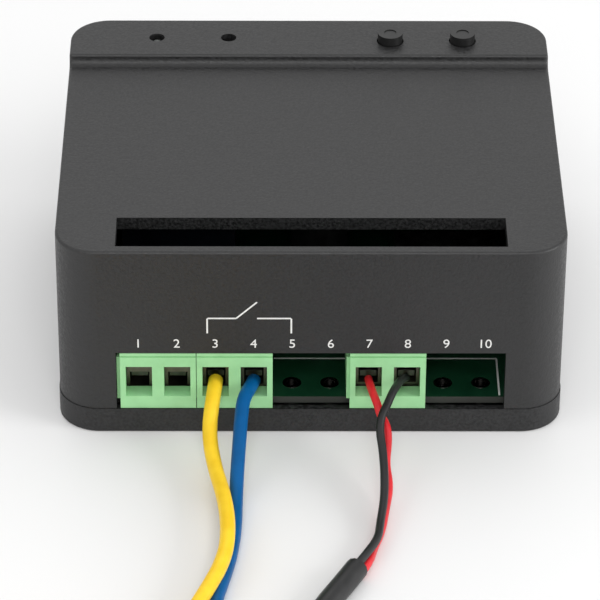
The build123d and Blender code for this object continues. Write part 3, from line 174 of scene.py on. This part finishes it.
# %% Routes, in millimetres
YELLOW_D = 2.0
BLUE_D = 1.85
CORE_D = 1.1
LEAD_D = 3.0
yellow_route = [
    (-12.62, -27.6, 6.9), (-12.85, -31.2, 7.3), (-13.5, -35.8, 4.2), (-12.6, -41.6, 2.6),
    (-11.3, -48.1, 2.9), (-10.65, -55.1, 3.25), (-11.0, -61.6, 3.2), (-13.3, -68.1, 2.8),
    (-17.2, -75.6, 1.1), (-24.15, -82.55, 2.0), (-29.72, -84.77, 2.0),
]
blue_route = [
    (-7.54, -27.6, 6.95), (-8.0, -30.0, 7.45), (-8.85, -32.3, 7.3), (-9.15, -34.6, 6.45),
    (-9.35, -38.0, 5.1), (-9.6, -41.9, 3.4), (-9.8, -46.4, 1.3), (-9.85, -52.4, 0.94),
    (-10.3, -58.0, 0.94), (-11.3, -63.4, 0.94), (-12.3, -68.0, 0.94), (-12.4, -76.5, 0.94),
    (-10.4, -88.0, 0.94), (-9.7, -103.0, 1.2), (-10.38, -117.25, 1.93), (-10.65, -126.25, 1.93),
]
red_route = [
    (7.7, -27.6, 7.2), (8.0, -30.6, 7.65), (8.8, -33.4, 7.1), (9.15, -34.9, 6.4),
    (10.0, -36.6, 5.9), (10.15, -38.4, 4.6), (9.74, -41.6, 3.3), (10.24, -45.0, 2.2),
    (9.61, -48.8, 1.35), (8.96, -52.9, 0.64), (7.93, -56.2, 0.67), (7.27, -59.96, 1.07),
    (6.27, -61.92, 1.07),
]
black_route = [
    (12.78, -27.6, 7.4), (12.2, -28.9, 8.2), (11.5, -31.1, 8.75), (10.75, -33.0, 8.7),
    (10.05, -34.9, 8.1), (9.25, -36.7, 7.6), (8.95, -38.6, 6.5), (9.38, -41.2, 5.0),
    (9.52, -44.6, 3.74), (9.42, -48.4, 2.58), (8.82, -52.4, 1.85), (8.49, -55.8, 1.8),
    (6.74, -59.69, 2.12), (5.74, -61.65, 2.12),
]
lead_route = [
    (5.65, -61.6, 1.52), (3.42, -65.96, 1.52), (1.45, -69.5, 1.52), (-1.9, -77.6, 1.52),
    (-4.4, -89.0, 1.52), (-5.14, -97.61, 2.5), (-4.78, -110.6, 2.5),
]
yellow_tail = [(-40.64, -106.1, 9.5), (-41.08, -121.09, 1.02), (-41.29, -128.09, 1.02)]
blue_tail = [(-9.47, -123.75, 8.97), (0.35, -133.01, 0.95), (4.36, -136.79, 0.95)]
lead_tail = [(35.95, -104.6, 13.0), (36.4, -88.11, 1.52), (36.6, -81.11, 1.52)]
yellow_coil = coil_points((-27.0, -98.1), 13.4, 7 + 70 / 360, 110.0, 1, YELLOW_D)
blue_coil = coil_points((-23.5, -128.1), 12.8, 7 + 315 / 360, 0.0, -1, BLUE_D)
lead_coil = coil_points((15.5, -113.6), 20.2, 8.5, 180.0, 1, LEAD_D)

# %% Lay the wires
cord_table = {
    "yellow_cord": (np.vstack([yellow_route, yellow_coil, yellow_tail]), YELLOW_D, "bare",
                    ("yellow_wire", "yellow_coil", "yellow_tail"), "wire_yellow"),
    "blue_cord": (np.vstack([blue_route, blue_coil, blue_tail]), BLUE_D, "bare",
                  ("blue_wire", "blue_coil", "blue_tail"), "wire_blue"),
    "red_cord": (np.array(red_route), CORE_D, "object", ("red_core",), "wire_red"),
    "black_cord": (np.array(black_route), CORE_D, "object", ("black_core",), "wire_black"),
    "lead_cord": (np.vstack([lead_route, lead_coil, lead_tail]), LEAD_D, "bare",
                  ("lead", "lead_coil", "lead_tail"), "wire_black"),
}
cords = {}
for name, (points, diameter, far_end, replaced, slot) in cord_table.items():
    wire = wire_curve(name, points, diameter)
    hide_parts(*replaced)
    cords[name] = wire

# %% [markdown]
# ## Materials
# Each material is a Principled shader. Plain values sit on its own sockets. What changes over the
# surface comes from two shared effects, built once as node groups: a fine moulding grain, and a
# mottle that shifts a colour and a roughness a little. Both read Object coordinates, so that the
# pattern stays on the piece from any side.

# %% Shared effect: moulding grain
FINE_DETAIL = 2.0
COARSE_DETAIL = 1.0
COARSE_SCALE_SHARE = 0.3


def new_group(name, inputs, outputs):
    """A shader node group with named float inputs and outputs"""
    group = bpy.data.node_groups.new(name, "ShaderNodeTree")
    for label, kind, value in inputs:
        socket = group.interface.new_socket(label, in_out="INPUT", socket_type=kind)
        if value is not None:
            socket.default_value = value
    for label, kind in outputs:
        group.interface.new_socket(label, in_out="OUTPUT", socket_type=kind)
    return group, group.nodes.new("NodeGroupInput"), group.nodes.new("NodeGroupOutput")


def grain_group():
    """Height of a spark-eroded mould: fine noise on top of a coarser one"""
    group, entry, leave = new_group(
        "moulding_grain",
        [("Vector", "NodeSocketVector", None), ("Scale", "NodeSocketFloat", 9000.0),
         ("Coarse", "NodeSocketFloat", 0.5)],
        [("Height", "NodeSocketFloat")],
    )
    links = group.links
    fine = group.nodes.new("ShaderNodeTexNoise")
    fine.inputs["Detail"].default_value = FINE_DETAIL
    coarse = group.nodes.new("ShaderNodeTexNoise")
    coarse.inputs["Detail"].default_value = COARSE_DETAIL
    smaller = group.nodes.new("ShaderNodeMath")
    smaller.operation = "MULTIPLY"
    smaller.inputs[1].default_value = COARSE_SCALE_SHARE
    both = group.nodes.new("ShaderNodeMix")
    both.data_type = "FLOAT"
    links.new(entry.outputs["Vector"], fine.inputs["Vector"])
    links.new(entry.outputs["Vector"], coarse.inputs["Vector"])
    links.new(entry.outputs["Scale"], fine.inputs["Scale"])
    links.new(entry.outputs["Scale"], smaller.inputs[0])
    links.new(smaller.outputs[0], coarse.inputs["Scale"])
    links.new(entry.outputs["Coarse"], both.inputs[0])
    links.new(fine.outputs["Fac"], both.inputs[2])
    links.new(coarse.outputs["Fac"], both.inputs[3])
    links.new(both.outputs[0], leave.inputs["Height"])
    return group


grain = grain_group()
print("effect", grain.name)

# %% Shared effect: mottle
MOTTLE_DETAIL = 3.0
MOTTLE_LOW = 0.35
MOTTLE_HIGH = 0.65


def mottle_group():
    """A colour that drifts between two values with low noise, and a roughness that follows it"""
    group, entry, leave = new_group(
        "mottle",
        [("Vector", "NodeSocketVector", None), ("Scale", "NodeSocketFloat", 200.0),
         ("Dark", "NodeSocketColor", None), ("Light", "NodeSocketColor", None),
         ("Smooth", "NodeSocketFloat", 0.4), ("Rough", "NodeSocketFloat", 0.5)],
        [("Color", "NodeSocketColor"), ("Roughness", "NodeSocketFloat")],
    )
    links = group.links
    noise = group.nodes.new("ShaderNodeTexNoise")
    noise.inputs["Detail"].default_value = MOTTLE_DETAIL
    spread = group.nodes.new("ShaderNodeMapRange")
    spread.inputs["From Min"].default_value = MOTTLE_LOW
    spread.inputs["From Max"].default_value = MOTTLE_HIGH
    tint = group.nodes.new("ShaderNodeMix")
    tint.data_type = "RGBA"
    rough = group.nodes.new("ShaderNodeMix")
    rough.data_type = "FLOAT"
    links.new(entry.outputs["Vector"], noise.inputs["Vector"])
    links.new(entry.outputs["Scale"], noise.inputs["Scale"])
    links.new(noise.outputs["Fac"], spread.inputs["Value"])
    links.new(spread.outputs["Result"], tint.inputs[0])
    links.new(entry.outputs["Dark"], tint.inputs[6])
    links.new(entry.outputs["Light"], tint.inputs[7])
    links.new(spread.outputs["Result"], rough.inputs[0])
    links.new(entry.outputs["Smooth"], rough.inputs[2])
    links.new(entry.outputs["Rough"], rough.inputs[3])
    links.new(tint.outputs[2], leave.inputs["Color"])
    links.new(rough.outputs[0], leave.inputs["Roughness"])
    return group


mottle = mottle_group()
print("effect", mottle.name)

# %% A finish made of the shared effects
def finish_of(name, dark, light, smooth, rough, mottle_scale, grain_scale, bump, coarse=0.5,
              metal=0.0, specular=0.5, coat=0.0, stretch=(1.0, 1.0, 1.0)):
    """A Principled material: mottle feeds colour and roughness, grain feeds the bump"""
    material = bpy.data.materials.new(name)
    material.use_nodes = True
    tree = material.node_tree
    shader = tree.nodes["Principled BSDF"]
    shader.inputs["Metallic"].default_value = metal
    shader.inputs["Specular IOR Level"].default_value = specular
    shader.inputs["Coat Weight"].default_value = coat
    place = tree.nodes.new("ShaderNodeTexCoord")
    scaled = tree.nodes.new("ShaderNodeMapping")
    scaled.inputs["Scale"].default_value = stretch
    drift = tree.nodes.new("ShaderNodeGroup")
    drift.node_tree = mottle
    drift.inputs["Scale"].default_value = mottle_scale
    drift.inputs["Dark"].default_value = (*dark, 1)
    drift.inputs["Light"].default_value = (*light, 1)
    drift.inputs["Smooth"].default_value = smooth
    drift.inputs["Rough"].default_value = rough
    texture = tree.nodes.new("ShaderNodeGroup")
    texture.node_tree = grain
    texture.inputs["Scale"].default_value = grain_scale
    texture.inputs["Coarse"].default_value = coarse
    raised = tree.nodes.new("ShaderNodeBump")
    raised.inputs["Strength"].default_value = 1.0
    raised.inputs["Distance"].default_value = bump
    tree.links.new(place.outputs["Object"], scaled.inputs["Vector"])
    tree.links.new(scaled.outputs["Vector"], drift.inputs["Vector"])
    tree.links.new(scaled.outputs["Vector"], texture.inputs["Vector"])
    tree.links.new(drift.outputs["Color"], shader.inputs["Base Color"])
    tree.links.new(drift.outputs["Roughness"], shader.inputs["Roughness"])
    tree.links.new(texture.outputs["Height"], raised.inputs["Height"])
    tree.links.new(raised.outputs["Normal"], shader.inputs["Normal"])
    return material


finishes = {
    "case": finish_of("case_black", (0.0045, 0.0045, 0.0047), (0.0145, 0.0145, 0.0152), 0.38, 0.58,
                      2600, 3500, 0.00009, specular=0.6),
    "base": finish_of("base_black", (0.002, 0.002, 0.0022), (0.02, 0.02, 0.021), 0.42, 0.62,
                      2600, 3500, 0.00006),
    "button": finish_of("button_black", (0.006, 0.006, 0.006), (0.009, 0.009, 0.009), 0.35, 0.45,
                        500, 6000, 0.000006),
    "part": finish_of("part_black", (0.012, 0.012, 0.012), (0.02, 0.02, 0.02), 0.35, 0.5,
                      400, 6000, 0.000008),
    "mask": finish_of("board_green", (0.004, 0.034, 0.015), (0.006, 0.047, 0.021), 0.28, 0.4,
                      300, 2500, 0.000006, coat=0.3),
    "pad": finish_of("pad_solder", (0.3, 0.29, 0.27), (0.42, 0.4, 0.38), 0.12, 0.22,
                     700, 4000, 0.000004, metal=1.0),
    "contact": finish_of("contact_tin", (0.09, 0.085, 0.075), (0.14, 0.13, 0.12), 0.3, 0.45,
                         500, 4000, 0.000004, metal=1.0),
    "terminal": finish_of("terminal_green", (0.3, 0.61, 0.3), (0.34, 0.67, 0.34), 0.42, 0.5,
                          350, 6000, 0.000008, specular=0.3),
    "tin": finish_of("tinned_brass", (0.5, 0.49, 0.45), (0.65, 0.64, 0.6), 0.25, 0.4,
                     500, 4000, 0.000004, metal=1.0),
    "clamp": finish_of("clamp_brass", (0.13, 0.12, 0.095), (0.2, 0.185, 0.15), 0.35, 0.5,
                       500, 4000, 0.000006, metal=1.0),
    "steel": finish_of("steel", (0.42, 0.42, 0.43), (0.6, 0.6, 0.6), 0.25, 0.4,
                       450, 4000, 0.000004, metal=1.0),
    "copper": finish_of("copper", (0.6, 0.3, 0.18), (0.78, 0.43, 0.28), 0.25, 0.4,
                        600, 5000, 0.000004, metal=1.0, stretch=(1.0, 1.0, 0.2)),
    "lamp": finish_of("lamp_smoked", (0.05, 0.055, 0.052), (0.08, 0.085, 0.08), 0.15, 0.25,
                      400, 3000, 0.000004),
    "relay": finish_of("relay_black", (0.004, 0.005, 0.009), (0.006, 0.008, 0.014), 0.4, 0.5,
                       300, 5000, 0.000008, specular=0.25),
    "bobbin": finish_of("bobbin_white", (0.6, 0.6, 0.56), (0.72, 0.72, 0.68), 0.4, 0.55,
                        300, 5000, 0.000008),
    "yellow": finish_of("wire_yellow", (0.9, 0.57, 0.02), (0.96, 0.64, 0.03), 0.34, 0.44,
                        400, 3500, 0.000008, specular=0.25),
    "blue": finish_of("wire_blue", (0.0, 0.085, 0.26), (0.0, 0.1, 0.31), 0.36, 0.46,
                      400, 3500, 0.000008, specular=0.2),
    "red": finish_of("wire_red", (0.6, 0.012, 0.02), (0.74, 0.02, 0.03), 0.28, 0.4,
                     400, 3500, 0.000006),
    "sheath": finish_of("wire_black", (0.008, 0.008, 0.0085), (0.013, 0.013, 0.0135), 0.35, 0.5,
                        400, 3500, 0.000012),
    "print": finish_of("white_print", (0.7, 0.7, 0.68), (0.8, 0.8, 0.78), 0.5, 0.65,
                       900, 5000, 0.000003),
}
print("finishes", len(finishes))

# %% The bare laminate between the board's two masked faces
BOARD_UNDERSIDE = 2.75
BOARD_UPPER = 3.75
FACE_MARGIN = 0.01
LAMINATE_COLOUR = (0.085, 0.088, 0.08, 1)


def show_laminate(material):
    """Colour = laminate where under + margin < z < upper - margin, else the mask's own colour"""
    tree = material.node_tree
    shader = tree.nodes["Principled BSDF"]
    own_colour = shader.inputs["Base Color"].links[0].from_socket
    place = next(node for node in tree.nodes if node.type == "TEX_COORD")
    split = tree.nodes.new("ShaderNodeSeparateXYZ")
    tree.links.new(place.outputs["Object"], split.inputs[0])
    above = tree.nodes.new("ShaderNodeMath")
    above.operation = "GREATER_THAN"
    above.inputs[1].default_value = (BOARD_UNDERSIDE + FACE_MARGIN) * MM
    below = tree.nodes.new("ShaderNodeMath")
    below.operation = "LESS_THAN"
    below.inputs[1].default_value = (BOARD_UPPER - FACE_MARGIN) * MM
    within = tree.nodes.new("ShaderNodeMath")
    within.operation = "MULTIPLY"
    choice = tree.nodes.new("ShaderNodeMix")
    choice.data_type = "RGBA"
    choice.inputs[7].default_value = LAMINATE_COLOUR
    tree.links.new(split.outputs["Z"], above.inputs[0])
    tree.links.new(split.outputs["Z"], below.inputs[0])
    tree.links.new(above.outputs[0], within.inputs[0])
    tree.links.new(below.outputs[0], within.inputs[1])
    tree.links.new(within.outputs[0], choice.inputs[0])
    tree.links.new(own_colour, choice.inputs[6])
    tree.links.new(choice.outputs[2], shader.inputs["Base Color"])


show_laminate(finishes["mask"])
print("laminate band", BOARD_UNDERSIDE, BOARD_UPPER)

# %% Give each piece its finish
worn_by = {
    "case": ["lid"],
    "base": ["base"],
    "button": ["button_left", "button_right"],
    "part": ["switch_bodies", "header_socket", "header_strip", "relay_base", "capacitors",
             "inductor", "chips"],
    "mask": ["board", "indicator_board", "radio_board"],
    "terminal": ["terminal_left", "terminal_middle", "terminal_right"],
    "tin": ["lamp_legs", "header_pins", "relay_pins"],
    "contact": ["contact_bars"],
    "clamp": ["clamp_one", "clamp_two", "clamp_three", "clamp_four", "clamp_seven", "clamp_eight"],
    "steel": ["case_screws", "screw_one", "screw_two", "screw_three", "screw_four", "screw_seven",
              "screw_eight", "indicator_screws", "snap_domes", "switch_covers", "relay_yoke",
              "relay_armature", "radio_shield"],
    "copper": ["relay_winding", "conductors", "bare_ends"],
    "lamp": ["lamps"],
    "relay": ["relay_case"],
    "bobbin": ["relay_bobbin"],
    "red": ["red_end"],
    "sheath": ["black_end", "coil_ties"],
}


def dress(piece, material):
    """Every material slot of the piece gets this material"""
    if not piece.material_slots:
        piece.data.materials.append(material)
    for slot in piece.material_slots:
        slot.material = material


for finish, names in worn_by.items():
    for name in names:
        dress(nodes[name], finishes[finish])
for name, finish in (("yellow_cord", "yellow"), ("blue_cord", "blue"), ("red_cord", "red"),
                     ("black_cord", "sheath"), ("lead_cord", "sheath")):
    dress(cords[name], finishes[finish])

# %% [markdown]
# ## Print and solder on the board
# A white line of print runs round the terminals, and the four places without a terminal have a bare
# ring of solder round each hole and a plated barrel in it. They are far thinner than a solid should
# be, so they are made here as flat ribbons, rings and tubes that stand a few hundredths of a
# millimetre proud of the board.

# %% Thin pieces on a grid
BOARD_TOP = BOARD_UPPER
PRINT_RISE = 0.03
PRINT_LINE_W = 0.25
RING_STEPS = 48
WELD_DISTANCE = 1e-7


def grid_mesh(name, points, closed_u, material):
    """A mesh from an array of points (u, v, 3) in millimetres, its faces wound by u then v"""
    count_u, count_v = points.shape[:2]
    index = np.arange(count_u * count_v).reshape(count_u, count_v)
    following = np.roll(index, -1, axis=0)
    if not closed_u:
        index = index[:-1]
        following = following[:-1]
    quads = np.stack([index[:, :-1], following[:, :-1], following[:, 1:], index[:, 1:]], axis=-1)
    mesh = bpy.data.meshes.new(name)
    mesh.from_pydata((points.reshape(-1, 3) * MM).tolist(), [], quads.reshape(-1, 4).tolist())
    solid = bmesh.new()
    solid.from_mesh(mesh)
    bmesh.ops.remove_doubles(solid, verts=solid.verts, dist=WELD_DISTANCE)
    bmesh.ops.recalc_face_normals(solid, faces=solid.faces)
    solid.to_mesh(mesh)
    solid.free()
    piece = bpy.data.objects.new(name, mesh)
    bpy.context.scene.collection.objects.link(piece)
    dress(piece, material)
    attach(piece, "root")
    return piece


def ring_points(centre, inner, outer, bottom, top):
    """A washer: a rectangle of inner and outer radius turned about an upright axis"""
    angle = np.linspace(0, 2 * np.pi, RING_STEPS, endpoint=False)[:, None]
    radius = np.array([inner, outer, outer, inner, inner])[None, :]
    height = np.array([bottom, bottom, top, top, bottom])[None, :]
    x = centre[0] + radius * np.cos(angle)
    y = centre[1] + radius * np.sin(angle)
    return np.stack([x, y, height + 0 * angle], axis=-1)


def stripe_points(path, width, bottom, top):
    """A flat bar along a path of points (x, y): a rectangle of width and height carried along it"""
    path = np.asarray(path, dtype=float)
    ahead = np.gradient(path, axis=0)
    ahead /= np.linalg.norm(ahead, axis=1)[:, None]
    side = np.column_stack([-ahead[:, 1], ahead[:, 0]]) * width / 2
    left, over = path - side, path + side
    low = np.full(len(path), bottom)
    high = np.full(len(path), top)
    return np.stack([
        np.column_stack([left, low]), np.column_stack([over, low]), np.column_stack([over, high]),
        np.column_stack([left, high]), np.column_stack([left, low]),
    ], axis=1)


PLACES = 10
PITCH = 5.08
ROW_SHIFT = 0.08
PLACE_XS = [(i - (PLACES - 1) / 2) * PITCH + ROW_SHIFT for i in range(PLACES)]
EMPTY_PLACES = (4, 5, 8, 9)
PIN_Y = -23.55
PAD_INNER_R = 0.84
BARREL_INNER_R = 0.8
BARREL_OUTER_R = 0.84
BARREL_BOTTOM = 2.76
PAD_OUTER_R = 1.27
for place in EMPTY_PLACES:
    ring = ring_points((PLACE_XS[place], PIN_Y), PAD_INNER_R, PAD_OUTER_R, BOARD_TOP, BOARD_TOP + PRINT_RISE)
    grid_mesh(f"pad_ring_{place + 1}", ring, True, finishes["pad"])
    barrel = ring_points((PLACE_XS[place], PIN_Y), BARREL_INNER_R, BARREL_OUTER_R, BARREL_BOTTOM,
                         BOARD_TOP + PRINT_RISE)
    grid_mesh(f"pad_barrel_{place + 1}", barrel, True, finishes["pad"])
print_lines = {
    "print_back_middle": [(-4.9, -17.75), (4.9, -17.75)],
    "print_back_right": [(15.5, -17.75), (25.35, -17.75)],
    "print_right": [(25.35, -17.75), (25.35, -26.5)],
}
for name, path in print_lines.items():
    grid_mesh(name, stripe_points(path, PRINT_LINE_W, BOARD_TOP, BOARD_TOP + PRINT_RISE), False,
              finishes["print"])
print("print lines", len(print_lines))

# %% [markdown]
# ## Plain numbers over the terminals
# The strip above the notch carries small white printed marks. Only plain place numbers are printed
# here, and the general sign of a relay contact.

# %% Numbers
FRONT_Y = -29.6
NUMBER_Z = 14.1
NUMBER_SIZE = 1.9
SIGN_RISE = 0.012


def printed_number(text, x, z, size):
    """A number made a mesh, stood up and set on the front wall"""
    data = bpy.data.curves.new(f"number_{text}", "FONT")
    data.body = text
    data.size = size * MM
    data.align_x = "CENTER"
    data.align_y = "CENTER"
    data.extrude = SIGN_RISE * MM
    holder = bpy.data.objects.new(f"number_{text}_outline", data)
    bpy.context.scene.collection.objects.link(holder)
    bpy.context.view_layer.update()
    mesh = bpy.data.meshes.new_from_object(holder.evaluated_get(bpy.context.evaluated_depsgraph_get()))
    bpy.data.objects.remove(holder)
    stand_up = Matrix.Rotation(math.radians(90), 4, "X")
    mesh.transform(Matrix.Translation((x * MM, (FRONT_Y - SIGN_RISE) * MM, z * MM)) @ stand_up)
    number = bpy.data.objects.new(f"number_{text}", mesh)
    bpy.context.scene.collection.objects.link(number)
    dress(number, finishes["print"])
    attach(number, "root")
    return number


for place, x in enumerate(PLACE_XS, start=1):
    printed_number(str(place), x, NUMBER_Z, NUMBER_SIZE)

# %% Sign of a relay contact over the second terminal
SIGN_LINE_W = 0.22
contact_sign = {
    "sign_left": [(-13.66, 15.8), (-13.66, 18.15), (-9.85, 18.15)],
    "sign_arm": [(-9.85, 18.15), (-7.1, 20.7)],
    "sign_right": [(-7.1, 18.15), (-2.6, 18.15), (-2.6, 15.8)],
}


def mitred(path):
    """A path with each corner doubled a hair apart, so that a stripe turns it squarely"""
    path = np.asarray(path, dtype=float)
    pieces = [path[:1]]
    for before, here, after in zip(path, path[1:], path[2:]):
        into = (here - before) / np.linalg.norm(here - before)
        onward = (after - here) / np.linalg.norm(after - here)
        pieces.append(np.array([here - into * SIGN_LINE_W / 2, here + onward * SIGN_LINE_W / 2]))
    pieces.append(path[-1:])
    return np.vstack(pieces)


for name, path in contact_sign.items():
    flat = stripe_points(mitred(path), SIGN_LINE_W, 0.0, SIGN_RISE)
    on_wall = np.stack([flat[..., 0], FRONT_Y - flat[..., 2], flat[..., 1]], axis=-1)
    grid_mesh(name, on_wall, False, finishes["print"])
print("sign strokes", len(contact_sign))

# %% [markdown]
# ## Floor, backdrop and light
# The object stands on a pale sheet that fades to near white. A pale world and four soft lamps light
# it. The sheet lies a hair under the object, so that the underside doesn't share its plane.

# %% Floor
FLOOR_HALF = 1.5
FLOOR_Z = -0.00005
FLOOR_COLOUR = (0.84, 0.84, 0.84, 1)
FLOOR_ROUGHNESS = 0.6
FLOOR_SPECULAR = 0.2


def floor_sheet():
    """A level square just under the object"""
    mesh = bpy.data.meshes.new("floor")
    low, high = -FLOOR_HALF, FLOOR_HALF
    mesh.from_pydata([(low, low, FLOOR_Z), (high, low, FLOOR_Z), (high, high, FLOOR_Z),
                      (low, high, FLOOR_Z)], [], [(0, 1, 2, 3)])
    sheet = bpy.data.objects.new("floor", mesh)
    bpy.context.scene.collection.objects.link(sheet)
    return sheet


floor = floor_sheet()
floor_paint = bpy.data.materials.new("floor_paint")
floor_paint.use_nodes = True
floor_shader = floor_paint.node_tree.nodes["Principled BSDF"]
floor_shader.inputs["Base Color"].default_value = FLOOR_COLOUR
floor_shader.inputs["Roughness"].default_value = FLOOR_ROUGHNESS
floor_shader.inputs["Specular IOR Level"].default_value = FLOOR_SPECULAR
floor.data.materials.append(floor_paint)
floor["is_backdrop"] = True

# %% World
SKY_COLOUR = (1, 1, 1, 1)
SKY_STRENGTH = 0.8
world = bpy.data.worlds.new("studio")
world.use_nodes = True
bpy.context.scene.world = world
sky = world.node_tree.nodes["Background"]
sky.inputs["Color"].default_value = SKY_COLOUR
sky.inputs["Strength"].default_value = SKY_STRENGTH
print("sky", SKY_STRENGTH)

# %% Lamps: place and aim in metres, size in metres, power in watts
LAMPS = {
    "back_lamp": ((0.0, 0.55, 0.75), (0, 0, 0), 0.7, 0.9),
    "left_lamp": ((-0.6, -0.3, 0.6), (0, 0, 0), 0.4, 0.5),
    "right_lamp": ((0.8, -0.3, 0.35), (0, 0, 0), 0.4, 4.0),
    "front_lamp": ((0.0, -0.9, 0.8), (0, -0.05, 0), 0.5, 3.4),
}


def soft_lamp(name, place, aim, size, watts):
    """A square area lamp that points at a spot"""
    data = bpy.data.lights.new(name, "AREA")
    data.size = size
    data.energy = watts
    lamp = bpy.data.objects.new(name, data)
    bpy.context.scene.collection.objects.link(lamp)
    lamp.location = place
    lamp.rotation_euler = (Vector(aim) - Vector(place)).to_track_quat("-Z", "Y").to_euler()


for name, (place, aim, size, watts) in LAMPS.items():
    soft_lamp(name, place, aim, size, watts)
print("lamps", len(LAMPS))
bpy.context.scene.view_settings.view_transform = "Standard"

# %% Sizes and finish
def shown_box():
    """Lowest and highest corner of the meshes that are shown, curves turned into meshes first"""
    graph = bpy.context.evaluated_depsgraph_get()
    corners = []
    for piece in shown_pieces():
        shown = piece.evaluated_get(graph)
        mesh = shown.to_mesh()
        spots = np.empty(len(mesh.vertices) * 3)
        mesh.vertices.foreach_get("co", spots)
        spots = spots.reshape(-1, 3)
        matrix = np.array(shown.matrix_world)
        spots = spots @ matrix[:3, :3].T + matrix[:3, 3]
        corners += [spots.min(axis=0), spots.max(axis=0)]
        shown.to_mesh_clear()
    return [np.min(corners, axis=0).tolist(), np.max(corners, axis=0).tolist()]


bpy.context.view_layer.update()
mesh_box = shown_box()
print("box of the shown meshes", mesh_box)
